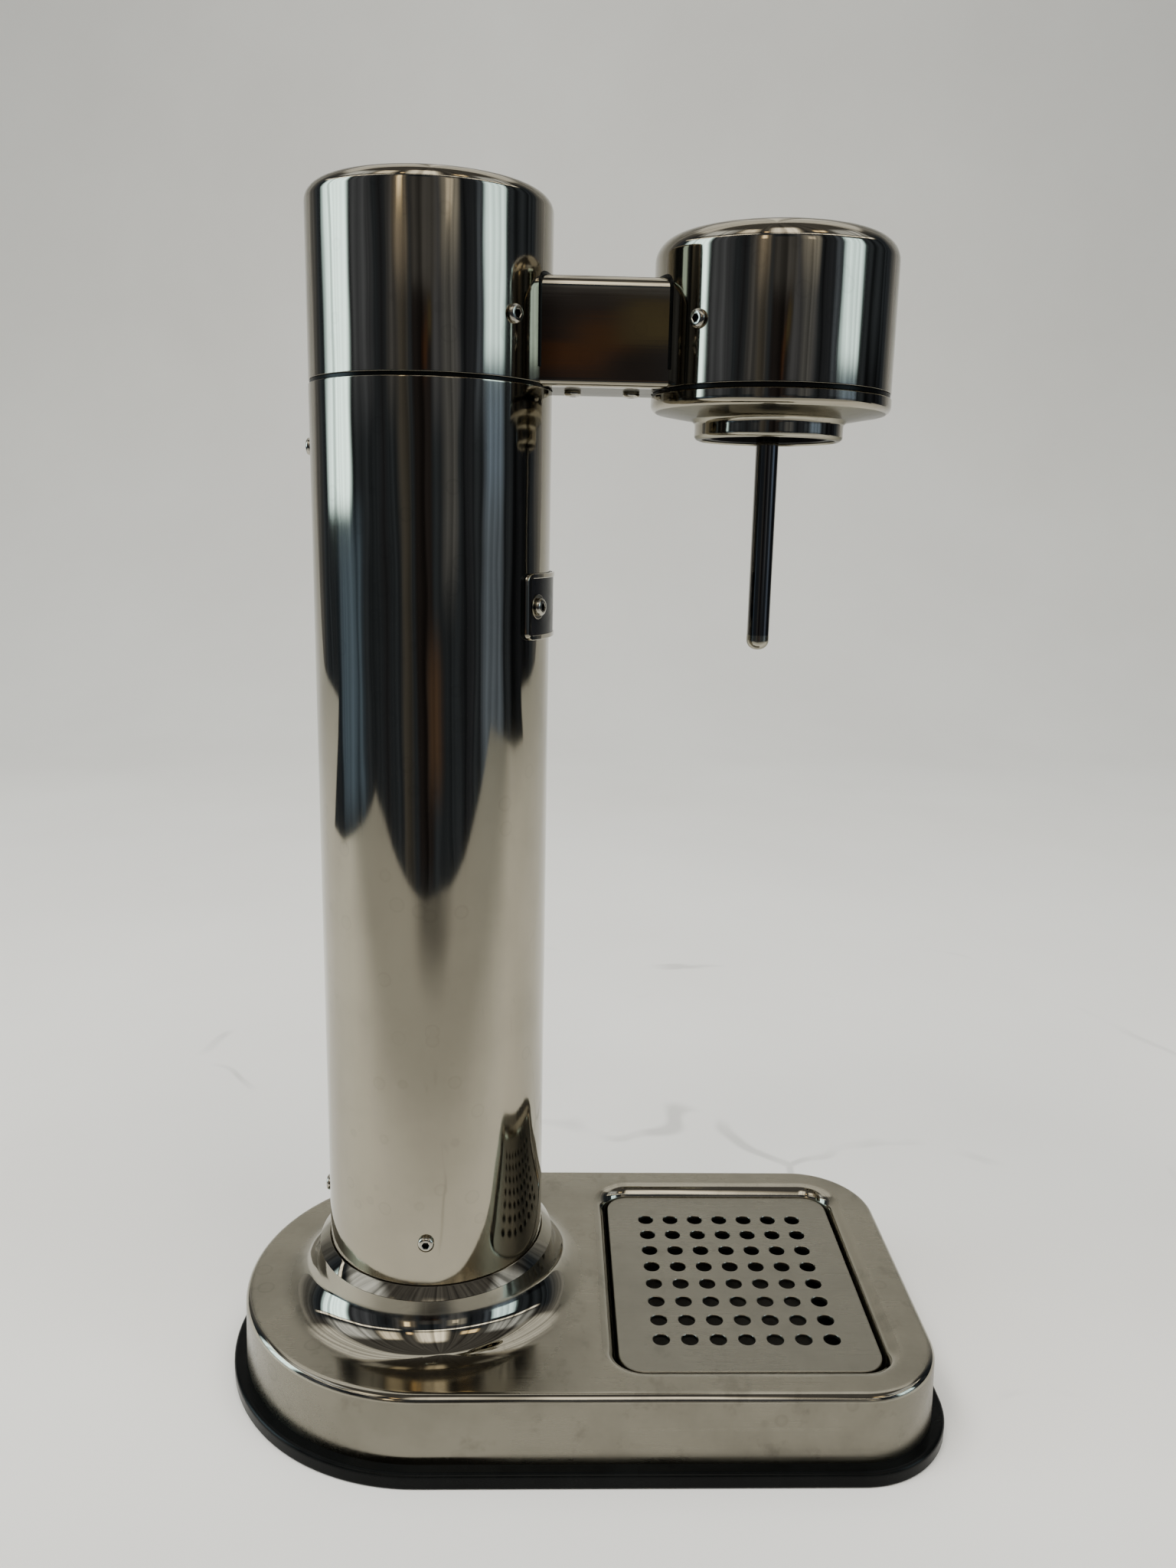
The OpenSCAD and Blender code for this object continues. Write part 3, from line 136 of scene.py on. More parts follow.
SNUG = 0.05
SIDE_SCREW_Z = SEAM_Z + 19.9
FOOT_SCREW_Z = LIP_Z + 16.7
REAR_SCREW_Z = SEAM_Z - 18.9
ARM_T = 1.2
ARM_LIP = 4.5
ARM_EDGE_R = 4.0
ARM_LOW_R = 2.2
WINDOW_GAP = 0.9
WINDOW_Z = CAP_Z + 4.7
RIM_H = 2.4
RIM_ROUND = 2.5
NECK_R = 24.6
NECK_ROUND = 1.7
NECK_FILLET = 2.2
MOUTH_R = 22.2
SEAT_W = 6.0
GASKET_IN = 0.3
BADGE_R = TUBE_R + 0.8
BADGE_T = 0.5
BADGE_RIM_T = 0.35
BADGE_RIM_W = 1.5
BADGE_CORNER = 2.5
BADGE_HALF_A = 37.0
BADGE_SCREW_A = 28.5
BADGE_PAD_R = 4.0
HUB_R = 9.5
BAR_END_R = 7.0
BOSS_IN = 11.6
BREAK = 0.2
SHEET_ROLL = 0.12
ARM_SCREW_Y = 9.7
SCREW_HOLE_R = 1.65
# Screws: shank radius, length, head radius, head height
BASE_SCREW = (2.0, 16.0, 3.6, 2.2)
FOOT_SCREW = (1.5, 6.5, 2.9, 1.7)
REAR_SCREW = (1.5, 5.4, 2.9, 1.7)
CUP_SCREW = (1.5, 7.0, 2.9, 1.7)
BADGE_SCREW = (1.25, 6.0, 2.9, 1.7)
ARM_SCREW = (1.5, 9.0, 2.8, 1.6)
LEVER_SCREW = (2.0, 10.0, 5.0, 2.5)


# Node helpers

def link(tree, source, out, target, into):
    tree.links.new(source.outputs[out], target.inputs[into])


def math_node(tree, operation, a, b):
    """A Math node whose two inputs are sockets or numbers."""
    made = tree.nodes.new("ShaderNodeMath")
    made.operation = operation
    for i, value in enumerate((a, b)):
        if isinstance(value, (int, float)):
            made.inputs[i].default_value = value
        else:
            tree.links.new(value, made.inputs[i])
    return made.outputs["Value"]


def ramp(tree, value, stops):
    """A colour ramp; a stop is a place and a grey or a colour."""
    made = tree.nodes.new("ShaderNodeValToRGB")
    elements = made.color_ramp.elements
    while len(elements) > 1:
        elements.remove(elements[-1])
    for i, (at, colour) in enumerate(stops):
        stop = elements[0] if i == 0 else elements.new(at)
        stop.position = at
        stop.color = (*colour, 1.0) if isinstance(colour, tuple) else (colour, colour, colour, 1.0)
    tree.links.new(value, made.inputs["Fac"])
    return made.outputs["Color"]


def ranged(tree, value, low, high, to_low, to_high, soft=False):
    made = tree.nodes.new("ShaderNodeMapRange")
    if soft:
        made.interpolation_type = "SMOOTHSTEP"
    made.inputs["From Min"].default_value = low
    made.inputs["From Max"].default_value = high
    made.inputs["To Min"].default_value = to_low
    made.inputs["To Max"].default_value = to_high
    tree.links.new(value, made.inputs["Value"])
    return made.outputs["Result"]


def between(tree, value, low, high, edge):
    """1 from low to high, 0 outside, with soft edges."""
    rise = ranged(tree, value, low - edge, low + edge, 0.0, 1.0, True)
    fall = ranged(tree, value, high - edge, high + edge, 1.0, 0.0, True)
    return math_node(tree, "MULTIPLY", rise, fall)


def mixed(tree, blend, factor, a, b):
    """A colour Mix node; the factor and the two colours are sockets or values."""
    made = tree.nodes.new("ShaderNodeMix")
    made.data_type = "RGBA"
    made.blend_type = blend
    for into, value in ((0, factor), (6, a), (7, b)):
        if isinstance(value, (int, float)):
            made.inputs[into].default_value = value
        elif isinstance(value, tuple):
            made.inputs[into].default_value = (*value, 1.0)
        else:
            tree.links.new(value, made.inputs[into])
    return made.outputs[2]


def shaded(tree, colour, factor):
    return mixed(tree, "MULTIPLY", 1.0, colour, factor)


def place(tree, scale, shift=(0.0, 0.0, 0.0)):
    """Object coordinates in metres, scaled and then shifted."""
    source = tree.nodes.new("ShaderNodeTexCoord")
    mapping = tree.nodes.new("ShaderNodeMapping")
    mapping.inputs["Scale"].default_value = scale
    mapping.inputs["Location"].default_value = shift
    link(tree, source, "Object", mapping, "Vector")
    return mapping.outputs["Vector"]


def distance(tree, x, y):
    """Distance of a point from an upright axis, in metres."""
    length = tree.nodes.new("ShaderNodeVectorMath")
    length.operation = "LENGTH"
    tree.links.new(place(tree, (1.0, 1.0, 0.0), (-x, -y, 0.0)), length.inputs[0])
    return length.outputs["Value"]


def part(tree, vector, axis):
    """One coordinate of a vector."""
    split = tree.nodes.new("ShaderNodeSeparateXYZ")
    tree.links.new(vector, split.inputs["Vector"])
    return split.outputs[axis]


def noise(tree, scale, detail=3.0, roughness=0.5, shift=(0.0, 0.0, 0.0)):
    made = tree.nodes.new("ShaderNodeTexNoise")
    made.inputs["Scale"].default_value = 1.0
    made.inputs["Detail"].default_value = detail
    made.inputs["Roughness"].default_value = roughness
    tree.links.new(place(tree, scale, shift), made.inputs["Vector"])
    return made.outputs["Fac"]


def noise_along(tree, value, scale, detail):
    """Noise along one coordinate."""
    made = tree.nodes.new("ShaderNodeTexNoise")
    made.noise_dimensions = "1D"
    made.inputs["Scale"].default_value = scale
    made.inputs["Detail"].default_value = detail
    tree.links.new(value, made.inputs["W"])
    return made.outputs["Fac"]


def bump(tree, height, depth, under=None):
    made = tree.nodes.new("ShaderNodeBump")
    made.inputs["Strength"].default_value = 1.0
    made.inputs["Distance"].default_value = depth
    tree.links.new(height, made.inputs["Height"])
    if under is not None:
        tree.links.new(under, made.inputs["Normal"])
    return made.outputs["Normal"]


def even(value):
    return (value, value, value)


def water_marks(tree, size):
    """Dried drops: a few cells of a Voronoi pattern hold a faint ring. 1 on the ring, 0 elsewhere."""
    cells = tree.nodes.new("ShaderNodeTexVoronoi")
    cells.inputs["Scale"].default_value = 1.0
    tree.links.new(place(tree, even(1.0 / size)), cells.inputs["Vector"])
    ring = ramp(tree, cells.outputs["Distance"],
                [(0.0, 0.25), (0.2, 0.2), (0.27, 1.0), (0.32, 0.0), (1.0, 0.0)])
    pick = tree.nodes.new("ShaderNodeSeparateColor")
    link(tree, cells, "Color", pick, "Color")
    chosen = ranged(tree, pick.outputs["Red"], 0.62, 0.66, 0.0, 1.0)
    return math_node(tree, "MULTIPLY", ring, chosen)


# Materials

def fresh(name):
    """A new material, its node tree and its shader."""
    made = bpy.data.materials.new(name)
    made.use_nodes = True
    return made, made.node_tree, made.node_tree.nodes["Principled BSDF"]


# The column's axis, in metres
AXIS = (0.0, COL_Y * MM)
# Stains, from large to small, and the grain of moulded pieces: cells per metre
CLOUDS = 26.0
BLOTCHES = 70.0
BLACK_CLOUDS = 60.0
BLACK_GRAIN = 1500.0


def steel(name, tint, rough, grain_scale, grain, stain, wave=0.0, wave_scale=(13.0, 13.0, 13.0),
          marks=0.0, mark_size=0.006, mirror=(), buffed_and_shaded=1.0, spokes=0.0, edge=1.0):
    """Metal with a fine grain, slow waves, stains and water marks. Depths are in metres.

    grain and wave are depths; the waves are calm on level faces. marks darkens the rings of dried drops.
    mirror lists (x, y, near, far, rough): smoother within a distance of an upright axis, in metres.
    buffed_and_shaded below 1 makes it smoother where the sheet bends between upright and level, and turns
    on painted shade on its walls and painted light on its tops.
    spokes is the depth of waves that run outwards from the column; edge below 1 dims a slanting view.
    """
    made, tree, shader = fresh(name)
    shader.inputs["Metallic"].default_value = 1.0
    shader.inputs["Specular Tint"].default_value = (edge, edge, edge, 1.0)
    streak = noise(tree, grain_scale, 4.0, 0.6)
    cloud = noise(tree, even(CLOUDS), 5.0, 0.6)
    blotch = noise(tree, even(BLOTCHES), 6.0, 0.65, (3.1, 5.7, 1.3))
    darker = tuple(c * (0.93 - stain) for c in tint)
    colour = ramp(tree, cloud, [(0.32, darker), (0.55, tint), (1.0, tint)])
    spots = ramp(tree, blotch, [(0.34, 1.0 - 1.4 * stain), (0.44, 1.0), (1.0, 1.0)])
    colour = shaded(tree, colour, spots)
    dull = ranged(tree, cloud, 0.3, 0.7, rough * (1.2 + 2.0 * stain), rough * 0.85)
    fine = ranged(tree, streak, 0.3, 0.7, 0.85, 1.2)
    dull = math_node(tree, "MULTIPLY", dull, fine)
    if marks:
        rings = water_marks(tree, mark_size)
        colour = shaded(tree, colour, ramp(tree, rings, [(0.0, 1.0), (1.0, 1.0 - marks)]))
        more = ranged(tree, rings, 0.0, 1.0, 1.0, 1.0 + 2.0 * marks)
        dull = math_node(tree, "MULTIPLY", dull, more)
    share = 1.0
    for x, y, near, far, smooth in mirror:
        away = ranged(tree, distance(tree, x, y), near, far, smooth / rough, 1.0, True)
        share = math_node(tree, "MINIMUM", away, share)
    if mirror:
        dull = math_node(tree, "MULTIPLY", dull, share)
    surface = tree.nodes.new("ShaderNodeNewGeometry")
    level = math_node(tree, "ABSOLUTE", part(tree, surface.outputs["Normal"], "Z"), 0.0)
    if buffed_and_shaded < 1.0:
        bend = between(tree, level, BEND_FROM, LEVEL, 0.045)
        dull = math_node(tree, "MULTIPLY", dull, ranged(tree, bend, 0.0, 1.0, 1.0, buffed_and_shaded))
        # Painted shade and light: the colour is darker on walls and lighter on tops, by how level the
        # face is
        colour = shaded(tree, colour, ranged(tree, level, 0.10, 0.22, WALL_PAINTED_SHADE, TOP_PAINTED_LIGHT, True))
    tree.links.new(colour, shader.inputs["Base Color"])
    tree.links.new(dull, shader.inputs["Roughness"])
    normal = None
    if wave:
        normal = bump(tree, noise(tree, wave_scale, 2.0, 0.5), wave)
        calm = ranged(tree, level, 0.5, LEVEL, 1.0, CALM, True)
        tree.links.new(calm, normal.node.inputs["Strength"])
    if spokes:
        turn = tree.nodes.new("ShaderNodeTexGradient")
        turn.gradient_type = "RADIAL"
        tree.links.new(place(tree, even(1.0), (-AXIS[0], -AXIS[1], 0.0)), turn.inputs["Vector"])
        normal = bump(tree, noise_along(tree, turn.outputs["Fac"], SPOKE_SCALE, 1.0), spokes, normal)
    tree.links.new(bump(tree, streak, grain, normal), shader.inputs["Normal"])
    return made


def soft_black(name, tint, rough, grain):
    """Rubber, enamel or moulded plastic with a fine grain."""
    made, tree, shader = fresh(name)
    shader.inputs["Specular IOR Level"].default_value = BLACK_SHINE
    cloud = noise(tree, even(BLACK_CLOUDS), 4.0, 0.6)
    darker = tuple(c * 0.7 for c in tint)
    lighter = tuple(c * 1.5 for c in tint)
    tree.links.new(ramp(tree, cloud, [(0.3, darker), (0.7, lighter)]), shader.inputs["Base Color"])
    dull = ranged(tree, cloud, 0.3, 0.7, rough * 0.8, rough * 1.25)
    tree.links.new(dull, shader.inputs["Roughness"])
    fine = noise(tree, even(BLACK_GRAIN), 2.0)
    tree.links.new(bump(tree, fine, grain), shader.inputs["Normal"])
    return made


# Grain: cells per metre along X, Y and Z
UP_GRAIN = (1400.0, 1400.0, 9.0)
LONG_GRAIN = (1400.0, 9.0, 1400.0)
EVEN_GRAIN = (700.0, 700.0, 700.0)
# How level a face is, 0 for a wall and 1 for a top: where its bend starts and ends
BEND_FROM = 0.42
LEVEL = 0.95
# Shares left: of the waves' height on level faces, and of the colour on walls and on tops, which gives
# painted shade on walls and painted light on tops
CALM = 0.12
WALL_PAINTED_SHADE = 0.72
TOP_PAINTED_LIGHT = 1.12
SPOKE_SCALE = 9.0
BLACK_SHINE = 0.07
BRIGHT = (0.32, 0.293, 0.232)
# Buffed places of the base: axis, distances where it starts to fade and ends, and roughness
FLARE_MIRROR = AXIS + (0.0440, 0.0460, 0.07)
SIDE_MIRROR = (-0.030, AXIS[1] - 0.002, 0.038, 0.054, 0.09)

POLISHED = steel("polished_steel", BRIGHT, 0.06, UP_GRAIN, 0.000003, 0.02,
                 wave=0.0005, wave_scale=(45.0, 45.0, 9.0), marks=0.08, mark_size=0.009)
ARM_STEEL = steel("arm_steel", BRIGHT, 0.045, LONG_GRAIN, 0.0000015, 0.03,
                  wave=0.00006, wave_scale=(50.0, 12.0, 50.0), marks=0.05, mark_size=0.008)
SHELL_STEEL = steel("shell_steel", (0.285, 0.265, 0.214), 0.27, LONG_GRAIN, 0.0000008, 0.12,
                    wave=0.00025, wave_scale=even(24.0), marks=0.10, mark_size=0.011,
                    mirror=[FLARE_MIRROR, SIDE_MIRROR], buffed_and_shaded=0.22, spokes=0.0007)
SATIN = steel("satin_steel", (0.37, 0.35, 0.285), 0.16, LONG_GRAIN, 0.000001, 0.06,
              wave=0.00002, marks=0.14, mark_size=0.005, edge=0.4)
TRAY_STEEL = steel("tray_steel", (0.10, 0.095, 0.085), 0.35, LONG_GRAIN, 0.000002, 0.10)
GRILLE_STEEL = steel("grille_steel", (0.28, 0.265, 0.22), 0.28, LONG_GRAIN, 0.000001, 0.07)
SCREW = steel("screw_steel", (0.38, 0.36, 0.31), 0.12, EVEN_GRAIN, 0.0000012, 0.04)
DARK = steel("dark_steel", (0.19, 0.18, 0.165), 0.07, UP_GRAIN, 0.0000015, 0.02)
ZINC = steel("zinc_plate", (0.42, 0.43, 0.44), 0.42, EVEN_GRAIN, 0.000006, 0.10)
CAST = steel("cast_alloy", (0.32, 0.325, 0.33), 0.5, EVEN_GRAIN, 0.00002, 0.10)
ALLOY = steel("bare_alloy", (0.62, 0.64, 0.66), 0.30, UP_GRAIN, 0.000003, 0.05, marks=0.08)
BRASS = steel("brass", (0.72, 0.55, 0.28), 0.22, EVEN_GRAIN, 0.000002, 0.06)
RUBBER = soft_black("black_rubber", (0.0025, 0.0028, 0.0028), 0.24, 0.000004)
PLASTIC = soft_black("black_plastic", (0.016, 0.016, 0.017), 0.42, 0.000015)
# Painted shade: the inside of each screw's hex socket is near black
SOCKET_SHADE = soft_black("socket_painted_shade", (0.004, 0.004, 0.004), 0.3, 0.000004)
ENAMEL = soft_black("badge_black", (0.007, 0.007, 0.008), 0.2, 0.000001)

# The material of each of the record's slots
MATERIAL_OF = {
    "polished_steel": POLISHED, "satin_steel": SATIN, "screw_steel": SCREW, "dark_steel": DARK,
    "zinc_plate": ZINC, "cast_alloy": CAST, "bare_alloy": ALLOY, "brass": BRASS,
    "black_rubber": RUBBER, "black_plastic": PLASTIC,
}
# The record's slot of each material
SLOTS = {made: slot for slot, made in MATERIAL_OF.items()}
SLOTS.update({ARM_STEEL: "polished_steel", SHELL_STEEL: "satin_steel", GRILLE_STEEL: "satin_steel"})


# Mesh helpers, all in millimetres

def oval(cx, cy, rx, ry, a0, a1, n):
    turns = [math.radians(a0 + (a1 - a0) * i / n) for i in range(n + 1)]
    return [(cx + rx * math.cos(a), cy + ry * math.sin(a)) for a in turns]


def arc(cx, cy, r, a0, a1, n=12):
    return oval(cx, cy, r, r, a0, a1, n)


def band(r_in, r_out, z0, z1):
    """Profile of a flat ring whose outer corners are broken."""
    return [(r_in, z0), (r_out - BREAK, z0), (r_out, z0 + BREAK),
            (r_out, z1 - BREAK), (r_out - BREAK, z1), (r_in, z1)]


def supported(points, closed=True, near=0.3):
    """Adds points close to the ends of long straight runs, so that flat faces shade flat."""
    out = []
    count = len(points)
    for i, p in enumerate(points):
        out.append(p)
        if not closed and i == count - 1:
            break
        q = points[(i + 1) % count]
        run = math.dist(p, q)
        if run > 4 * near:
            for t in (near / run, 1 - near / run):
                out.append((p[0] + (q[0] - p[0]) * t, p[1] + (q[1] - p[1]) * t))
    return out


# Edges that turn by more degrees than this stay sharp
SHARP = 32.0
SCREW_SHARP = 38.0


def shade(mesh, sharp):
    mesh.polygons.foreach_set("use_smooth", [True] * len(mesh.polygons))
    mesh.set_sharp_from_angle(angle=math.radians(sharp))


def add_object(name, data):
    made = bpy.data.objects.new(name, data)
    bpy.context.scene.collection.objects.link(made)
    return made


def to_object(bm, name, scale=MM):
    """Makes an object, in metres, of a finished bmesh."""
    bmesh.ops.recalc_face_normals(bm, faces=bm.faces)
    bmesh.ops.scale(bm, vec=(scale, scale, scale), verts=bm.verts)
    mesh = bpy.data.meshes.new(name)
    bm.to_mesh(mesh)
    bm.free()
    return add_object(name, mesh)


def finish_mesh(bm, name, material, sharp=SHARP):
    bmesh.ops.remove_doubles(bm, verts=bm.verts, dist=0.0008)
    bmesh.ops.dissolve_degenerate(bm, dist=0.0004, edges=bm.edges)
    made = to_object(bm, name)
    shade(made.data, sharp)
    made.data.materials.append(material)
    return made


def paint(obj, material, test):
    """Gives a second material to the faces whose middle, in millimetres, passes the test."""
    obj.data.materials.append(material)
    slot = len(obj.data.materials) - 1
    for face in obj.data.polygons:
        if test(face.center / MM):
            face.material_index = slot


def add_grid(bm, rows, closed_rows, closed_cols):
    """Faces between rows of points; a row of one point closes to a fan."""
    made = [[bm.verts.new(p) for p in row] for row in rows]
    pairs = [(made[i], made[i + 1]) for i in range(len(made) - 1)]
    if closed_rows:
        pairs.append((made[-1], made[0]))
    for a, b in pairs:
        n = max(len(a), len(b))
        for j in range(n if closed_cols else n - 1):
            k = (j + 1) % n
            if len(a) == 1 and len(b) == 1:
                continue
            if len(a) == 1:
                bm.faces.new((a[0], b[j], b[k]))
            elif len(b) == 1:
                bm.faces.new((a[j], b[0], a[k]))
            else:
                bm.faces.new((a[j], b[j], b[k], a[k]))
    return made


def circle(cx, cy, r, z, n):
    turns = [2 * math.pi * i / n for i in range(n)]
    return [(cx + r * math.cos(a), cy + r * math.sin(a), z) for a in turns]


def lathe_rows(profile, cx, cy, segments):
    return [[(cx, cy, z)] if r < 1e-6 else circle(cx, cy, r, z, segments) for r, z in profile]


def lathe(name, profile, cy, material, segments=256, near=0.3):
    """A closed profile turned about an upright axis at x = 0."""
    bm = bmesh.new()
    add_grid(bm, lathe_rows(supported(profile, near=near), 0, cy, segments), True, True)
    return finish_mesh(bm, name, material)


def turned(name, profile, matrix, material, segments=128):
    """A closed profile turned about its own +Z and placed by a matrix."""
    bm = bmesh.new()
    add_grid(bm, lathe_rows(supported(profile, near=0.12), 0, 0, segments), True, True)
    bmesh.ops.transform(bm, matrix=matrix, verts=bm.verts)
    return finish_mesh(bm, name, material)


def bridge(path, start, end, d, near):
    """Puts points of a straight run on a path, close together at its ends."""
    run = math.dist(start, end)
    for t in (near / run, 0.25, 0.5, 0.75, 1 - near / run):
        path.append(((start[0] + (end[0] - start[0]) * t, start[1] + (end[1] - start[1]) * t), d))


def add_arc(path, cx, cy, r, a0, a1, n):
    """Puts points of an arc on a path."""
    for i in range(n + 1):
        a = math.radians(a0 + (a1 - a0) * i / n)
        d = (math.cos(a), math.sin(a))
        path.append(((cx + r * d[0], cy + r * d[1]), d))


def base_path():
    """Points of the base's outline, each with its outward direction."""
    out = []
    front_x = HALF_W - CORNER_R
    near = 0.6
    add_arc(out, 0, COL_Y, HALF_W, 0, 180, 60)
    bridge(out, (-HALF_W, COL_Y), (-HALF_W, CORNER_Y), (-1, 0), near)
    add_arc(out, -front_x, CORNER_Y, CORNER_R, 180, 270, 30)
    bridge(out, (-front_x, -HALF_D), (front_x, -HALF_D), (0, -1), near)
    add_arc(out, front_x, CORNER_Y, CORNER_R, 270, 360, 30)
    bridge(out, (HALF_W, CORNER_Y), (HALF_W, COL_Y), (1, 0), near)
    return out


# Corners of a rounded rectangle: the side along each axis and the angle at which its arc starts
CORNERS = ((1, 1, 0), (-1, 1, 90), (-1, -1, 180), (1, -1, 270))


def rect_path(w, l, r, cy):
    """Points of a rounded rectangle's outline, each with its outward direction."""
    out = []
    for i, (sx, sy, a0) in enumerate(CORNERS):
        add_arc(out, sx * (w / 2 - r), sy * (l / 2 - r) + cy, r, a0, a0 + 90, 16)
        last, d = out[-1]
        next_x, next_y, _ = CORNERS[(i + 1) % 4]
        far = (next_x * (w / 2 - r) + r * d[0], cy + next_y * (l / 2 - r) + r * d[1])
        bridge(out, last, far, d, 0.5)
    return out


def ring_of(path, u, z):
    return [(p[0] + u * d[0], p[1] + u * d[1], z) for p, d in path]


def sweep_rows(path, profile):
    return [ring_of(path, u, z) for u, z in profile]


def inside(p, loop):
    hit = False
    for i, a in enumerate(loop):
        b = loop[i - 1]
        if (a[1] > p[1]) != (b[1] > p[1]):
            if p[0] < (b[0] - a[0]) * (p[1] - a[1]) / (b[1] - a[1]) + a[0]:
                hit = not hit
    return hit


def add_sheet(bm, outer, holes, z):
    """A flat sheet between one outer loop and its holes, with the loops' own points as corners."""
    points = []
    edges = []
    for loop in [outer] + holes:
        start = len(points)
        points += [Vector((p[0], p[1])) for p in loop]
        edges += [(start + i, start + (i + 1) % len(loop)) for i in range(len(loop))]
    flat = geometry.delaunay_2d_cdt(points, edges, [], 0, 1e-5)
    verts = [bm.verts.new((v[0], v[1], z)) for v in flat[0]]
    for tri in flat[2]:
        c = sum((flat[0][i] for i in tri), Vector((0, 0))) / 3
        if inside(c, outer) and not any(inside(c, h) for h in holes):
            bm.faces.new([verts[i] for i in tri])


def cutter(fill, name):
    bm = bmesh.new()
    fill(bm)
    return to_object(bm, name)


def cut(obj, fills):
    """Takes the cutters' shapes out of obj and keeps the result as its mesh."""
    tools = [cutter(f, obj.name + "_cut") for f in fills]
    for tool in tools:
        mod = obj.modifiers.new("cut", "BOOLEAN")
        mod.operation = "DIFFERENCE"
        mod.solver = "EXACT"
        mod.object = tool
    graph = bpy.context.evaluated_depsgraph_get()
    mesh = bpy.data.meshes.new_from_object(obj.evaluated_get(graph))
    obj.modifiers.clear()
    old = obj.data
    obj.data = mesh
    shade(mesh, SHARP)
    bpy.data.meshes.remove(old)
    for tool in tools:
        used = tool.data
        bpy.data.objects.remove(tool)
        bpy.data.meshes.remove(used)


def fill_cylinder(matrix, r, z0, z1, n=48):
    def fill(bm):
        add_grid(bm, lathe_rows([(0, z0), (r, z0), (r, z1), (0, z1)], 0, 0, n), False, True)
        bmesh.ops.transform(bm, matrix=matrix, verts=bm.verts)
    return fill


def fill_prism(section, y0, y1):
    """A bar along Y with a section in X and Z."""
    def fill(bm):
        add_grid(bm, [[(x, y0, z) for x, z in section], [(x, y1, z) for x, z in section]], False, True)
        bmesh.ops.holes_fill(bm, edges=[e for e in bm.edges if e.is_boundary], sides=0)
    return fill


def at(x, y, z):
    return Matrix.Translation((x, y, z))


UPSIDE_DOWN = Matrix.Rotation(math.pi, 4, "X")


def radial(angle, r, z, cy):
    """+Z of the piece points outwards from an upright axis."""
    turn = Matrix.Rotation(math.radians(angle), 4, "Z")
    return at(0, cy, z) @ turn @ at(r, 0, 0) @ Matrix.Rotation(math.pi / 2, 4, "Y")


def along_x(x, y, z):
    return at(x, y, z) @ Matrix.Rotation(math.pi / 2, 4, "Y")


def put(obj, *nodes, body="machine"):
    """Rides the piece on its body and lets it stand for its CAD nodes."""
    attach(obj, body)
    if nodes:
        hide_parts(*nodes)
    return obj


# Screws: a domed head with a rounded edge and a hex socket whose inside has painted shade

def hex_ring(r, z, n):
    out = []
    for j in range(n):
        a = 2 * math.pi * j / n
        b = (a + math.pi / 6) % (math.pi / 3) - math.pi / 6
        flat = r * math.cos(math.pi / 6) / math.cos(b)
        out.append((flat * math.cos(a), flat * math.sin(a), z))
    return out


def add_screw(bm, matrix, shank_r, length, head_r, head_h, n=48):
    tip = 0.3
    edge = min(0.35, head_h * 0.25)
    hex_r = head_r * 0.46
    top_r = hex_r + head_r * 0.12
    skirt = head_h * 0.34
    soft = 0.14
    depth = max(0.2, head_h * 0.25)
    start = len(bm.verts)
    profile = [(0, -length), (shank_r - tip, -length), (shank_r, -length + tip)]
    profile += [(shank_r, -tip / 2), (shank_r, 0)]
    profile += [(head_r - edge, 0)] + arc(head_r - edge, edge, edge, -90, 0, 4)
    profile += [(head_r, skirt)] + oval(top_r, skirt, head_r - top_r, head_h - skirt, 8, 90, 8)
    rows = lathe_rows(profile, 0, 0, n)
    add_grid(bm, rows, False, True)
    floor = [(p[0] * 0.82, p[1] * 0.82, depth) for p in hex_ring(hex_r, depth, n)]
    mouth = hex_ring(hex_r, head_h - soft, n)
    add_grid(bm, [rows[-1], hex_ring(hex_r + soft, head_h, n), mouth], False, True)
    steel_faces = len(bm.faces)
    add_grid(bm, [mouth, hex_ring(hex_r, depth, n), floor, [(0, 0, depth - 0.12)]], False, True)
    # The socket's inside takes the second slot, painted shade
    bm.faces.ensure_lookup_table()
    for face in bm.faces[steel_faces:]:
        face.material_index = 1
    bm.verts.ensure_lookup_table()
    bmesh.ops.transform(bm, matrix=matrix, verts=bm.verts[start:])


def screws(name, node_name, *sets, body="machine"):
    """Each set is a list of places and the sizes of its screws."""
    bm = bmesh.new()
    for places, sizes in sets:
        for matrix in places:
            add_screw(bm, matrix, *sizes)
    made = finish_mesh(bm, name, SCREW, SCREW_SHARP)
    made.data.materials.append(SOCKET_SHADE)
    return put(made, node_name, body=body)


# Base

def boss_spots():
    """Places of the screws under the base."""
    spots = []
    for a in (15, 90, 165):
        turn = math.radians(a)
        reach = HALF_W - BOSS_IN
        spots.append((reach * math.cos(turn), COL_Y + reach * math.sin(turn)))
    corner = (CORNER_R - BOSS_IN) * math.sin(math.radians(45))
    for side in (-1, 1):
        spots.append((side * (HALF_W - BOSS_IN), GRILLE_Y + GRILLE_L / 3))
        spots.append((side * (HALF_W - CORNER_R + corner), CORNER_Y - corner))
    return spots


def build_ring():
    foot_round = 0.8
    top_round = 1.5
    sink = 3.5
    head_hole_r = 4.2
    shank_hole_r = 2.15
    profile = [(-RING_W, 0), (-foot_round, 0)] + arc(-foot_round, foot_round, foot_round, -90, 0, 6)
    profile += arc(-top_round, RING_H - top_round, top_round, 0, 90, 10) + [(-RING_W, RING_H)]
    bm = bmesh.new()
    add_grid(bm, sweep_rows(base_path(), supported(profile)), True, True)
    ring = finish_mesh(bm, "foot_ring_rubber", RUBBER)
    spots = boss_spots()
    fills = []
    for x, y in spots:
        fills.append(fill_cylinder(at(x, y, 0), head_hole_r, -1, sink))
        fills.append(fill_cylinder(at(x, y, 0), shank_hole_r, sink - 0.5, RING_H + 1))
    cut(ring, fills)
    put(ring, "foot_ring")
    places = [at(x, y, sink) @ UPSIDE_DOWN for x, y in spots]
    screws("base_screw_set", "base_screws", (places, BASE_SCREW))


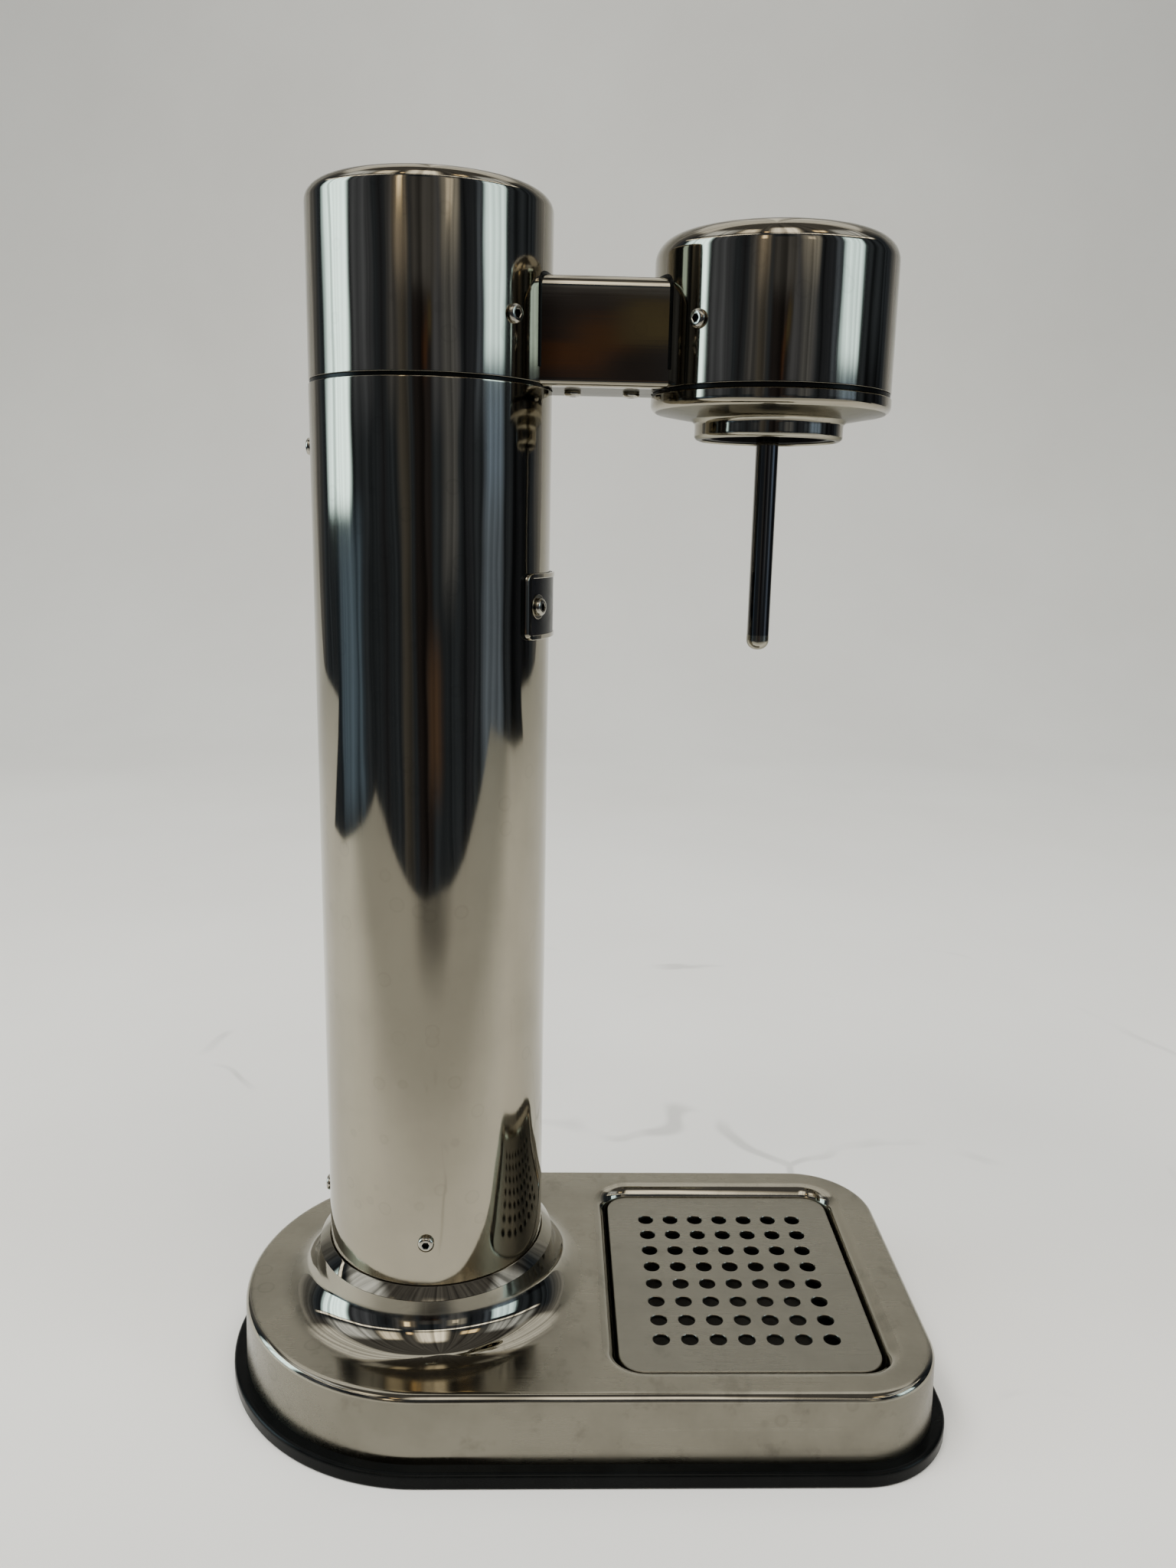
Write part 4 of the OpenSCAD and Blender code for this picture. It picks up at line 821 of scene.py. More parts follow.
def build_shell():
    """The pressed sheet: side wall, rolled edge, flat top, flare round the column, and the well."""
    top_in = RING_IN + BASE_LEAN
    edge_u = -top_in - EDGE_R
    edge_z = BASE_H - EDGE_R
    overlap = 0.4
    plan = base_path()
    well = rect_path(GRILLE_W + 2 * WELL_GAP, GRILLE_L + 2 * WELL_GAP, GRILLE_R + WELL_GAP, GRILLE_Y)
    turns = 192
    under = BASE_H - SHEET

    side_out = [(-RING_IN, RING_H), (-RING_IN - 0.01, RING_H + 0.3), (-top_in + 0.012, edge_z - 0.4)]
    side_out += arc(edge_u, edge_z, EDGE_R, 0, 90, 14) + [(edge_u - overlap, BASE_H)]
    side_in = [(edge_u - overlap, under)] + arc(edge_u, edge_z, EDGE_R - SHEET, 90, 0, 8)
    side_in += [(-RING_IN - SHEET, RING_H), side_out[0]]
    bm = bmesh.new()
    add_grid(bm, sweep_rows(plan, side_out), False, True)
    add_grid(bm, sweep_rows(plan, side_in), False, True)

    flare_out = [(FLARE_EDGE + overlap, BASE_H)]
    flare_out += arc(FLARE_EDGE, BASE_H + FLARE_R, FLARE_R, 270, 196, 28)
    lip_in = TUBE_R + 0.15
    flare_out += [(LIP_R - 0.6, LIP_Z - 3.7), (LIP_R - 0.12, LIP_Z - 3.45), (LIP_R, LIP_Z - 3.2)]
    flare_out += [(lip_in + 0.6, LIP_Z - BREAK), (lip_in + 0.3, LIP_Z), (lip_in, LIP_Z - BREAK)]
    flare_in = [(lip_in, LIP_Z - 1.6)]
    flare_in += arc(FLARE_EDGE, BASE_H + FLARE_R, FLARE_R + SHEET, 180, 270, 18)
    flare_in += [(FLARE_EDGE + overlap, under)]
    add_grid(bm, lathe_rows(flare_out + flare_in, 0, COL_Y, turns), False, True)

    well_out = [(WELL_ROLL + overlap, BASE_H)] + arc(WELL_ROLL, WELL_WALL_Z, WELL_ROLL, 90, 180, 16)
    well_out += [(0, WELL_WALL_Z - 0.4), (0, WELL_WALL_Z - WELL_SKIRT)]
    well_in = [(SHEET, WELL_WALL_Z - WELL_SKIRT), (SHEET, WELL_WALL_Z)]
    well_in += arc(WELL_ROLL, WELL_WALL_Z, WELL_ROLL - SHEET, 180, 90, 12)[1:]
    well_in += [(WELL_ROLL + overlap, under)]
    add_grid(bm, sweep_rows(well, well_out + well_in), False, True)

    for z in (BASE_H, under):
        holes = [circle(0, COL_Y, FLARE_EDGE + overlap, z, turns), ring_of(well, WELL_ROLL + overlap, z)]
        add_sheet(bm, ring_of(plan, edge_u - overlap, z), holes, z)
    return put(finish_mesh(bm, "base_shell_sheet", SHELL_STEEL), "base_shell")


def build_grille():
    """The lift-out plate: holes with rounded edges, a rounded rim and a locating skirt."""
    rim = rect_path(GRILLE_W, GRILLE_L, GRILLE_R, GRILLE_Y)
    low = GRILLE_TOP - GRILLE_T
    soft = 0.45
    past = 0.12
    edge_in = soft + 0.3
    n = 40
    xs = [(i - (DRAIN_COLUMNS - 1) / 2) * DRAIN_PITCH_X for i in range(DRAIN_COLUMNS)]
    ys = [GRILLE_Y + (j - (DRAIN_ROWS - 1) / 2) * DRAIN_PITCH_Y for j in range(DRAIN_ROWS)]
    spots = [(x, y) for x in xs for y in ys]
    bm = bmesh.new()
    edge = [(-edge_in, GRILLE_TOP)] + arc(-soft, GRILLE_TOP - soft, soft, 90, 0, 6)
    edge += [(0, low + 0.15), (-0.15, low), (-edge_in, low)]
    add_grid(bm, sweep_rows(rim, edge), False, True)
    wall = [(DRAIN_R + soft + past, GRILLE_TOP)]
    wall += arc(DRAIN_R + soft, GRILLE_TOP - soft, soft, 90, 180, 5)
    wall += [(DRAIN_R, low + 0.1), (DRAIN_R + 0.1, low), (DRAIN_R + soft + past, low)]
    for x, y in spots:
        add_grid(bm, lathe_rows(wall, x, y, n), False, True)
    for z in (GRILLE_TOP, low):
        rings = [circle(x, y, DRAIN_R + soft + past, z, n) for x, y in spots]
        add_sheet(bm, ring_of(rim, -edge_in, z), rings, z)
    inset = 1.6
    wall_t = 1.0
    skirt = rect_path(GRILLE_W - 2 * inset, GRILLE_L - 2 * inset, GRILLE_R - inset, GRILLE_Y)
    under = low - 0.002
    hang = [(0, under), (0, GRILLE_LOW + BREAK), (-BREAK, GRILLE_LOW), (BREAK - wall_t, GRILLE_LOW)]
    hang += [(-wall_t, GRILLE_LOW + BREAK), (-wall_t, under)]
    add_grid(bm, sweep_rows(skirt, hang), True, True)
    return put(finish_mesh(bm, "grille_plate", GRILLE_STEEL), "drip_grille", body="drip_grille")


# Column

def build_column():
    tube_in = TUBE_R - TUBE_T
    roll = SHEET_ROLL
    tube = [(tube_in, TUBE_Z), (TUBE_R - BREAK, TUBE_Z), (TUBE_R, TUBE_Z + BREAK)]
    tube += arc(TUBE_R - roll, SEAM_Z - roll, roll, 0, 90, 4) + [(tube_in, SEAM_Z)]
    put(lathe("column_tube_wall", tube, COL_Y, POLISHED, 320), "column_tube")
    seam = band(SEAM_R - SEAM_W, SEAM_R, SEAM_Z, CAP_Z)
    put(lathe("seam_ring_black", seam, COL_Y, RUBBER, near=0.1), "seam_ring")
    low = [radial(a, TUBE_R + SNUG, FOOT_SCREW_Z, COL_Y) for a in (0, 90, 180)]
    high = [radial(90, TUBE_R + SNUG, REAR_SCREW_Z, COL_Y)]
    screws("tube_screw_set", "tube_screws", (low, FOOT_SCREW), (high, REAR_SCREW))


def cup_profile(r, z, top, edge_r):
    roll = SHEET_ROLL
    out = arc(r - roll, z + roll, roll, -90, 0, 4) + arc(r - edge_r, top - edge_r, edge_r, 0, 90, 20)
    out += [(0, top), (0, top - CAP_T)] + arc(r - edge_r, top - edge_r, edge_r - CAP_T, 90, 0, 12)
    return out + [(r - CAP_T, z)]


def window_section():
    """The arm's section, grown for its gasket, above the window's sill."""
    w = ARM_W / 2 + WINDOW_GAP
    top = ARM_TOP + WINDOW_GAP
    out = arc(w - ARM_EDGE_R, top - ARM_EDGE_R, ARM_EDGE_R, 0, 90, 10)
    out += arc(ARM_EDGE_R - w, top - ARM_EDGE_R, ARM_EDGE_R, 90, 180, 10)
    return out + [(-w, WINDOW_Z), (w, WINDOW_Z)]


def build_cup(names, r, cy, z, top, edge_r, screw_angles, side_hole=False):
    """The column's cap or the head's drum, with its window for the arm and its two screws."""
    piece, screw_piece, cad_piece, cad_screws = names
    obj = lathe(piece, cup_profile(r, z, top, edge_r), cy, POLISHED, 320)
    fills = [fill_prism(window_section(), min(cy, 0.0), max(cy, 0.0))]
    for a in screw_angles:
        fills.append(fill_cylinder(radial(a, r - 3, SIDE_SCREW_Z, cy), SCREW_HOLE_R, 0, 5))
    if side_hole:
        fills.append(fill_cylinder(along_x(0, cy, LEVER_Z), HOUSING_R + 0.15, 20, 60, 96))
    cut(obj, fills)
    put(obj, cad_piece)
    spots = [radial(a, r + SNUG, SIDE_SCREW_Z, cy) for a in screw_angles]
    screws(screw_piece, cad_screws, (spots, CUP_SCREW))


def build_cups():
    build_cup(("column_cap_shell", "cap_screw_set", "column_cap", "cap_screws"), CAP_R, COL_Y, CAP_Z,
              TOTAL_H, CAP_EDGE_R, (225, 315), True)
    build_cup(("head_drum_shell", "drum_screw_set", "head_drum", "drum_screws"), DRUM_R, HEAD_Y, DRUM_Z,
              DRUM_TOP, DRUM_EDGE_R, (45, 135))
    gasket = band(RIM_R - SEAT_W + 0.2, DRUM_R - GASKET_IN, COLLAR_Z, DRUM_Z)
    put(lathe("drum_gasket_black", gasket, HEAD_Y, RUBBER, near=0.1), "drum_gasket")


# Badge: a curved plate with a steel rim, two steel pads and a bare black field

def badge_loop(half_w, half_h, corner, r):
    """A rounded rectangle seen from the front, laid on the cylinder of radius r about the column."""
    out = []
    flat = []
    for sx, sz, a0 in CORNERS:
        flat += arc(sx * (half_w - corner), sz * (half_h - corner), corner, a0, a0 + 90, 10)
    count = len(flat)
    for i, p in enumerate(flat):
        q = flat[(i + 1) % count]
        steps = max(1, round(math.dist(p, q) / 1.5))
        for k in range(steps):
            t = k / steps
            x = p[0] + (q[0] - p[0]) * t
            z = p[1] + (q[1] - p[1]) * t
            out.append((x, COL_Y - math.sqrt(r * r - x * x), BADGE_Z + z))
    return out


def badge_ring(loop, share, r):
    """A badge loop shrunk towards the badge's middle, on the cylinder of radius r."""
    out = []
    for x, _, z in loop:
        near_x = x * share
        out.append((near_x, COL_Y - math.sqrt(r ** 2 - near_x ** 2), BADGE_Z + (z - BADGE_Z) * share))
    return out


def build_badge():
    rim_r = BADGE_R + BADGE_T + BADGE_RIM_T
    half_w = rim_r * math.sin(math.radians(BADGE_HALF_A))
    half_h = BADGE_H / 2
    soft = 0.15
    field_r = BADGE_R + BADGE_T
    bm = bmesh.new()
    rows = []
    for inset, r in ((0.4, BADGE_R), (0.0, BADGE_R + 0.02), (0.0, rim_r - soft), (soft, rim_r),
                     (BADGE_RIM_W - soft, rim_r), (BADGE_RIM_W, rim_r - soft), (BADGE_RIM_W, field_r)):
        corner = max(0.5, BADGE_CORNER - inset)
        rows.append(badge_loop(half_w - inset, half_h - inset, corner, r))
    field = [badge_ring(rows[-1], share, field_r) for share in (0.97, 0.85, 0.7, 0.5, 0.3, 0.1)]
    add_grid(bm, rows + field + [[(0, COL_Y - field_r, BADGE_Z)]], False, True)
    back = [badge_ring(rows[0], share, BADGE_R) for share in (1.0, 0.6, 0.2)]
    add_grid(bm, back + [[(0, COL_Y - BADGE_R, BADGE_Z)]], False, True)
    plate = finish_mesh(bm, "badge_plate_rim", POLISHED)
    paint(plate, ENAMEL, lambda c: math.hypot(c.x, c.y - COL_Y) < field_r + 0.05
          and abs(c.x) < half_w - BADGE_RIM_W and abs(c.z - BADGE_Z) < half_h - BADGE_RIM_W
          and math.hypot(c.x, c.y - COL_Y) > BADGE_R + 0.1)
    put(plate, "badge_plate")
    angles = (270 - BADGE_SCREW_A, 270 + BADGE_SCREW_A)
    edge = 0.12
    pad = [(0, -0.1), (BADGE_PAD_R, -0.1)] + arc(BADGE_PAD_R - edge, BADGE_RIM_T - edge, edge, 0, 90, 3)
    pad += [(0, BADGE_RIM_T)]
    for i, a in enumerate(angles):
        piece = turned("badge_pad_%d" % (i + 1), pad, radial(a, field_r, BADGE_Z, COL_Y), POLISHED, 64)
        put(piece)
    spots = [radial(a, rim_r + SNUG, BADGE_Z, COL_Y) for a in angles]
    screws("badge_screw_set", "badge_screws", (spots, BADGE_SCREW))


# Arm

def build_arm():
    w = ARM_W / 2
    lip = w - ARM_LIP
    floor_z = ARM_Z + ARM_T
    section = arc(ARM_LOW_R - w, ARM_Z + ARM_LOW_R, ARM_LOW_R, 270, 180, 8)
    section += arc(ARM_EDGE_R - w, ARM_TOP - ARM_EDGE_R, ARM_EDGE_R, 180, 90, 14)
    section += arc(w - ARM_EDGE_R, ARM_TOP - ARM_EDGE_R, ARM_EDGE_R, 90, 0, 14)
    section += arc(w - ARM_LOW_R, ARM_Z + ARM_LOW_R, ARM_LOW_R, 360, 270, 8)
    section += [(lip, ARM_Z), (lip, floor_z), (w - ARM_T, floor_z), (w - ARM_T, ARM_TOP - ARM_T)]
    section += [(ARM_T - w, ARM_TOP - ARM_T), (ARM_T - w, floor_z), (-lip, floor_z), (-lip, ARM_Z)]
    section = supported(section)
    ys = [ARM_FRONT, ARM_FRONT + 0.3, -12, 0, 12, ARM_REAR - 0.3, ARM_REAR]
    bm = bmesh.new()
    rows = add_grid(bm, [[(x, y, z) for x, z in section] for y in ys], False, True)
    bmesh.ops.contextual_create(bm, geom=rows[0])
    bmesh.ops.contextual_create(bm, geom=rows[-1])
    cover = finish_mesh(bm, "arm_cover_shell", ARM_STEEL)
    fills = []
    for cy, r in ((COL_Y, max(TUBE_R, CAP_R)), (HEAD_Y, DRUM_R)):
        fills.append(fill_cylinder(at(0, cy, 0), r + 0.15, ARM_Z - 1, WINDOW_Z + 0.3, 256))
    cut(cover, fills)
    put(cover, "arm_cover")
    arm_middle = (COL_Y - CAP_R + HEAD_Y + DRUM_R) / 2
    spots = [at(0, arm_middle + side * ARM_SCREW_Y, ARM_Z) @ UPSIDE_DOWN for side in (-1, 1)]
    screws("arm_screw_set", "arm_screws", (spots, ARM_SCREW))


# Head

def build_head():
    rim_low = COLLAR_Z - RIM_H
    neck_top = NECK_Z + 4.4
    seat = RIM_R - SEAT_W
    profile = [(MOUTH_R, DRUM_Z), (MOUTH_R, NECK_Z + 0.5), (MOUTH_R + 0.5, NECK_Z)]
    profile += arc(NECK_R - NECK_ROUND, NECK_Z + NECK_ROUND, NECK_ROUND, 270, 360, 12)
    profile += arc(NECK_R + NECK_FILLET, neck_top, NECK_FILLET, 180, 102, 12)
    profile += arc(RIM_R - RIM_ROUND, rim_low, RIM_ROUND, 282, 360, 14)
    profile += [(RIM_R, COLLAR_Z - 0.3), (RIM_R - 0.3, COLLAR_Z), (seat, COLLAR_Z), (seat, DRUM_Z)]
    collar = lathe("bottle_collar_turned", profile, HEAD_Y, SATIN, 288)
    paint(collar, POLISHED, lambda c: math.hypot(c.x, c.y - HEAD_Y) > RIM_R - 1.6)
    paint(collar, POLISHED, lambda c: NECK_Z + 1.2 < c.z < neck_top + 1.0
          and math.hypot(c.x, c.y - HEAD_Y) > NECK_R - 0.2)
    put(collar, "bottle_collar")
    bore = NOZZLE_R - 1
    tube = [(bore, TIP_Z), (NOZZLE_R, TIP_Z), (NOZZLE_R, NOZZLE_TOP), (bore, NOZZLE_TOP)]
    put(lathe("nozzle_tube_dark", tube, HEAD_Y, DARK, 96), "nozzle_tube")
    tip_r = NOZZLE_R - 0.6
    jet_r = 0.8
    plug_r = bore - 0.05
    plug_top = TIP_Z + 6
    tip = [(jet_r, NOZZLE_Z + 0.15), (jet_r + 0.15, NOZZLE_Z)]
    tip += arc(NOZZLE_R - tip_r, NOZZLE_Z + tip_r, tip_r, 275, 360, 14)
    tip += [(NOZZLE_R, TIP_Z - 0.02), (plug_r, TIP_Z - 0.02), (plug_r, plug_top), (jet_r, plug_top)]
    put(lathe("nozzle_tip_pale", tip, HEAD_Y, SATIN, 96, near=0.1), "nozzle_tip")


# Lever

def build_lever():
    """The bar is swept round its outline, wide at the hub and narrow at the knob."""
    outline = arc(COL_Y, LEVER_Z, HUB_R, -86, 86, 48) + arc(KNOB_Y, LEVER_Z, BAR_END_R, 88, 272, 40)
    count = len(outline)
    outward = []
    for i in range(count):
        run = (Vector(outline[(i + 1) % count]) - Vector(outline[i - 1])).normalized()
        outward.append(Vector((run.y, -run.x)))
    soft = 0.8
    flat = 3.0
    edge = [(-flat, BAR_X), (-soft - BREAK, BAR_X)]
    edge += [(-soft + u, x) for u, x in arc(0, BAR_X + soft, soft, -90, 0, 6)]
    edge += [(-soft + u, x) for u, x in arc(0, BAR_OUT - soft, soft, 0, 90, 6)]
    edge += [(-soft - BREAK, BAR_OUT), (-flat, BAR_OUT)]
    bm = bmesh.new()
    rings = [[(x, p[0] + n.x * u, p[1] + n.y * u) for p, n in zip(outline, outward)] for u, x in edge]
    rows = add_grid(bm, rings, False, True)
    for row in (rows[0], rows[-1]):
        bmesh.ops.contextual_create(bm, geom=row)
    put(finish_mesh(bm, "lever_bar_bright", POLISHED), "lever_bar", body="lever")
    length = KNOB_OUT - KNOB_IN
    foot = 1.5
    crown = 3.0
    knob = [(0, 0), (KNOB_R - foot, 0)] + arc(KNOB_R - foot, foot, foot, -90, 0, 8)
    knob += arc(KNOB_R - crown, length - crown, crown, 0, 90, 14) + [(0, length)]
    knob_place = along_x(KNOB_IN, KNOB_Y, LEVER_Z)
    put(turned("lever_knob_bright", knob, knob_place, POLISHED), "lever_knob", body="lever")
    hub_place = along_x(BAR_OUT, COL_Y, LEVER_Z)
    screws("lever_screw_head", "lever_screw", ([hub_place], LEVER_SCREW), body="lever")
    bore = 4.5
    rim = 0.5
    house = [(bore, HOUSING_IN), (HOUSING_R, HOUSING_IN)]
    house += arc(HOUSING_R - rim, HOUSING_OUT - rim, rim, 0, 90, 5) + [(bore, HOUSING_OUT)]
    put(turned("shaft_housing_turned", house, along_x(0, COL_Y, LEVER_Z), SATIN), "shaft_housing")


# Gas cylinder, seen when it is drawn out of the base

def build_cylinder():
    neck_r = 14.0
    neck_h = 9.0
    shoulder_h = 28.0
    foot_r = 5.0
    wall = 2.5
    bore = neck_r - 4.0
    base_t = 6.0
    shoulder_z = GAS_TOP - neck_h - shoulder_h
    floor_z = GAS_Z + base_t + wall
    sunk_z = GAS_Z + 2
    profile = [(0, sunk_z), (GAS_R - 2 * foot_r, sunk_z), (GAS_R - 1.5 * foot_r, GAS_Z)]
    profile += arc(GAS_R - foot_r, GAS_Z + foot_r, foot_r, 270, 360, 12)
    profile += oval(neck_r, shoulder_z, GAS_R - neck_r, shoulder_h, 0, 90, 24)
    profile += [(neck_r, GAS_TOP - 0.3), (neck_r - 0.3, GAS_TOP), (bore, GAS_TOP)]
    profile += [(bore, GAS_TOP - neck_h - wall)]
    profile += oval(bore, shoulder_z, GAS_R - wall - bore, shoulder_h - wall, 90, 0, 24)
    profile += [(GAS_R - wall, floor_z), (0, floor_z)]
    put(lathe("gas_cylinder_spun", profile, COL_Y, ALLOY, 192), "gas_cylinder", body="gas_cylinder")


build_ring()
build_shell()
build_grille()
build_column()
build_cups()
build_badge()
build_arm()
build_head()
build_lever()
build_cylinder()

slot_of = {s["node"]: s["material_slot"] for s in frame["record"]["subparts"]}
for name, obj in frame["nodes"].items():
    obj.data.materials.clear()
    obj.data.materials.append(TRAY_STEEL if name == "drip_tray" else MATERIAL_OF[slot_of[name]])


# Floor, backdrop, light and camera, in metres

TABLE_NEAR = -0.64
TABLE_LEFT = 0.86
TABLE_RIGHT = -1.30
# The table's near end has painted shade in the floor's colour, most of all in the middle
TABLE_DIM_FROM = -0.062
TABLE_DIM_TO = -0.34
TABLE_DIM = 0.50
SHADE_AT = (-0.62, 0.03)
SHADE_IN = 0.06
SHADE_OUT = 0.25
SHADE_DIM = 0.35
STAGE_FROM = 0.30
STAGE_SIDE = 1.9
STAGE_BACK = 1.9
STAGE_CURVE = 0.7
STAGE_TOP = 2.2
FLOOR_PALE = (0.76, 0.75, 0.72)
FLOOR_DULL = (0.71, 0.695, 0.665)
FLOOR_ROUGH = 0.75
SCUFF_SIZE = 4.0
SCUFF_BEND = 0.05
SCUFF_DEPTH = 0.26
SCUFFS_ROUND = (0.0, -0.05)


def scuffs(tree):
    """Thin grey scuffs: short pieces of wavering cell edges. 1 where the floor is clean."""
    bent = tree.nodes.new("ShaderNodeTexNoise")
    bent.inputs["Scale"].default_value = 9.0
    tree.links.new(place(tree, even(1.0)), bent.inputs["Vector"])
    moved = mixed(tree, "LINEAR_LIGHT", SCUFF_BEND, place(tree, even(1.0)), bent.outputs["Color"])
    cells = tree.nodes.new("ShaderNodeTexVoronoi")
    cells.feature = "DISTANCE_TO_EDGE"
    cells.inputs["Scale"].default_value = SCUFF_SIZE
    tree.links.new(moved, cells.inputs["Vector"])
    line = ranged(tree, cells.outputs["Distance"], 0.004, 0.016, 1.0, 0.0, True)
    patches = noise(tree, even(7.0), 3.0, 0.6, (0.4, 0.2, 0.0))
    kept = ranged(tree, patches, 0.55, 0.66, 0.0, SCUFF_DEPTH, True)
    near = ranged(tree, distance(tree, *SCUFFS_ROUND), 0.35, 0.60, 1.0, 0.0, True)
    marks = math_node(tree, "MULTIPLY", line, math_node(tree, "MULTIPLY", kept, near))
    return ramp(tree, marks, [(0.0, 1.0), (1.0, 0.0)])


def build_stage():
    """A pale table in front that runs into a wider floor and curves up to a backdrop."""
    paper, tree, shader = fresh("floor_paper")
    cloud = noise(tree, even(2.5), 4.0, 0.6)
    tone = shaded(tree, ramp(tree, cloud, [(0.3, FLOOR_DULL), (0.7, FLOOR_PALE)]), scuffs(tree))
    along = part(tree, place(tree, even(1.0)), "X")
    # Painted shade: the floor's colour darkens towards the table's near end and round a spot near its
    # middle
    edge = ranged(tree, along, TABLE_DIM_TO, TABLE_DIM_FROM, TABLE_DIM, 1.0, True)
    middle_shade = ranged(tree, distance(tree, *SHADE_AT), SHADE_IN, SHADE_OUT, SHADE_DIM, 1.0, True)
    dim = math_node(tree, "MULTIPLY", edge, middle_shade)
    tree.links.new(shaded(tree, tone, dim), shader.inputs["Base Color"])
    shader.inputs["Roughness"].default_value = FLOOR_ROUGH
    rows = [[(x, y, 0.0) for y in (TABLE_LEFT, TABLE_RIGHT)] for x in (TABLE_NEAR, STAGE_FROM)]
    wide = [(STAGE_FROM, 0.0)] + arc(STAGE_BACK - STAGE_CURVE, STAGE_CURVE, STAGE_CURVE, -90, 0, 24)
    wide += [(STAGE_BACK, STAGE_TOP)]
    bm = bmesh.new()
    add_grid(bm, rows, False, False)
    add_grid(bm, [[(x, y, z) for y in (STAGE_SIDE, -STAGE_SIDE)] for x, z in wide], False, False)
    floor = to_object(bm, "floor", 1.0)
    shade(floor.data, SHARP)
    floor.data.materials.append(paper)


# Soft light all round. Azimuths are in degrees from -X towards -Y, heights are the sine of the elevation.
CARDS = [
    # azimuth from, to, edge, height from, to, edge, colour
    (-74, -50, 4, 0.09, 0.50, 0.04, (0.135, 0.150, 0.185)),
    (-34, -14, 4, 0.09, 0.50, 0.04, (0.135, 0.138, 0.150)),
    (6, 30, 3, 0.09, 0.50, 0.04, (0.115, 0.122, 0.145)),
    (46, 56, 3, 0.09, 0.50, 0.04, (0.125, 0.150, 0.200)),
    (-10, 6, 2, -0.30, 0.24, 0.03, (0.034, 0.030, 0.032)),
    (-10, 10, 3, 0.176, 0.32, 0.006, (0.125, 0.125, 0.130)),
    (-44, -37, 3, -0.30, 0.40, 0.03, (0.040, 0.044, 0.055)),
    (33, 45, 3, -0.30, 0.40, 0.03, (0.042, 0.048, 0.062)),
    (86, 112, 4, -0.30, 0.13, 0.04, (0.020, 0.023, 0.030)),
    (-24, -15, 3, -0.30, 0.19, 0.05, (0.105, 0.100, 0.092)),
    (-27, -14, 3, 0.19, 0.42, 0.03, (0.38, 0.33, 0.27)),
    (-23, -18, 1, 0.235, 0.40, 0.01, (3.0, 2.4, 1.5)),
    (16, 27, 3, -0.05, 0.22, 0.04, (0.20, 0.21, 0.23)),
    (14, 30, 3, 0.20, 0.42, 0.03, (0.52, 0.50, 0.46)),
    (19, 24, 1, 0.225, 0.34, 0.01, (1.9, 1.7, 1.4)),
    (-94, -65, 6, -0.24, 0.0, 0.03, (0.16, 0.235, 0.34)),
    (-105, -76, 4, 0.008, 0.50, 0.012, (4.2, 5.8, 6.4)),
    (55, 76, 4, -0.30, 0.12, 0.03, (0.21, 0.265, 0.36)),
    (57, 75, 4, 0.02, 0.12, 0.04, (0.30, 0.41, 0.60)),
    (55, 77, 3, 0.125, 0.45, 0.012, (2.8, 3.9, 4.4)),
    (-1.5, 2.2, 1, 0.118, 0.143, 0.006, (0.090, 0.043, 0.025)),
    (0.8, 3.4, 1, 0.132, 0.156, 0.005, (0.080, 0.043, 0.025)),
    (3.0, 7.0, 1, 0.142, 0.168, 0.006, (0.110, 0.090, 0.052)),
    (2, 13, 4, -0.22, -0.10, 0.03, (0.13, 0.085, 0.06)),
    # ceiling: a long lamp, warm lamps and paler fields
    (-112, -30, 6, 0.515, 0.550, 0.008, (3.6, 3.4, 3.0)),
    (-12, 100, 6, 0.530, 0.565, 0.008, (3.6, 3.4, 3.0)),
    (100, 190, 8, 0.74, 1.20, 0.04, (1.3, 1.28, 1.2)),
    (-190, -100, 8, 0.74, 1.20, 0.04, (1.3, 1.28, 1.2)),
    (-52, -32, 5, 0.620, 0.800, 0.03, (2.6, 2.35, 1.9)),
    (-14, 14, 6, 0.600, 0.860, 0.04, (2.8, 2.6, 2.25)),
    (-22, -18, 2, 0.600, 0.660, 0.01, (3.6, 2.5, 1.2)),
    (30, 44, 3, 0.660, 0.740, 0.012, (3.4, 2.6, 1.5)),
    (-100, -60, 8, 0.620, 0.800, 0.04, (1.3, 1.35, 1.4)),
    (56, 96, 8, 0.600, 0.780, 0.04, (1.1, 1.15, 1.2)),
]
ROOM = (0.050, 0.061, 0.078)
BEHIND = (0.40, 0.395, 0.375)
CEILING = (0.16, 0.155, 0.15)
# The plain tone that the camera sees where nothing stands
SHOWN = (0.56, 0.55, 0.52)
STREAKS = 0.16
CEILING_FROM = 0.55
CEILING_TO = 0.75
BEHIND_FROM = 114.0
BEHIND_TO = 138.0


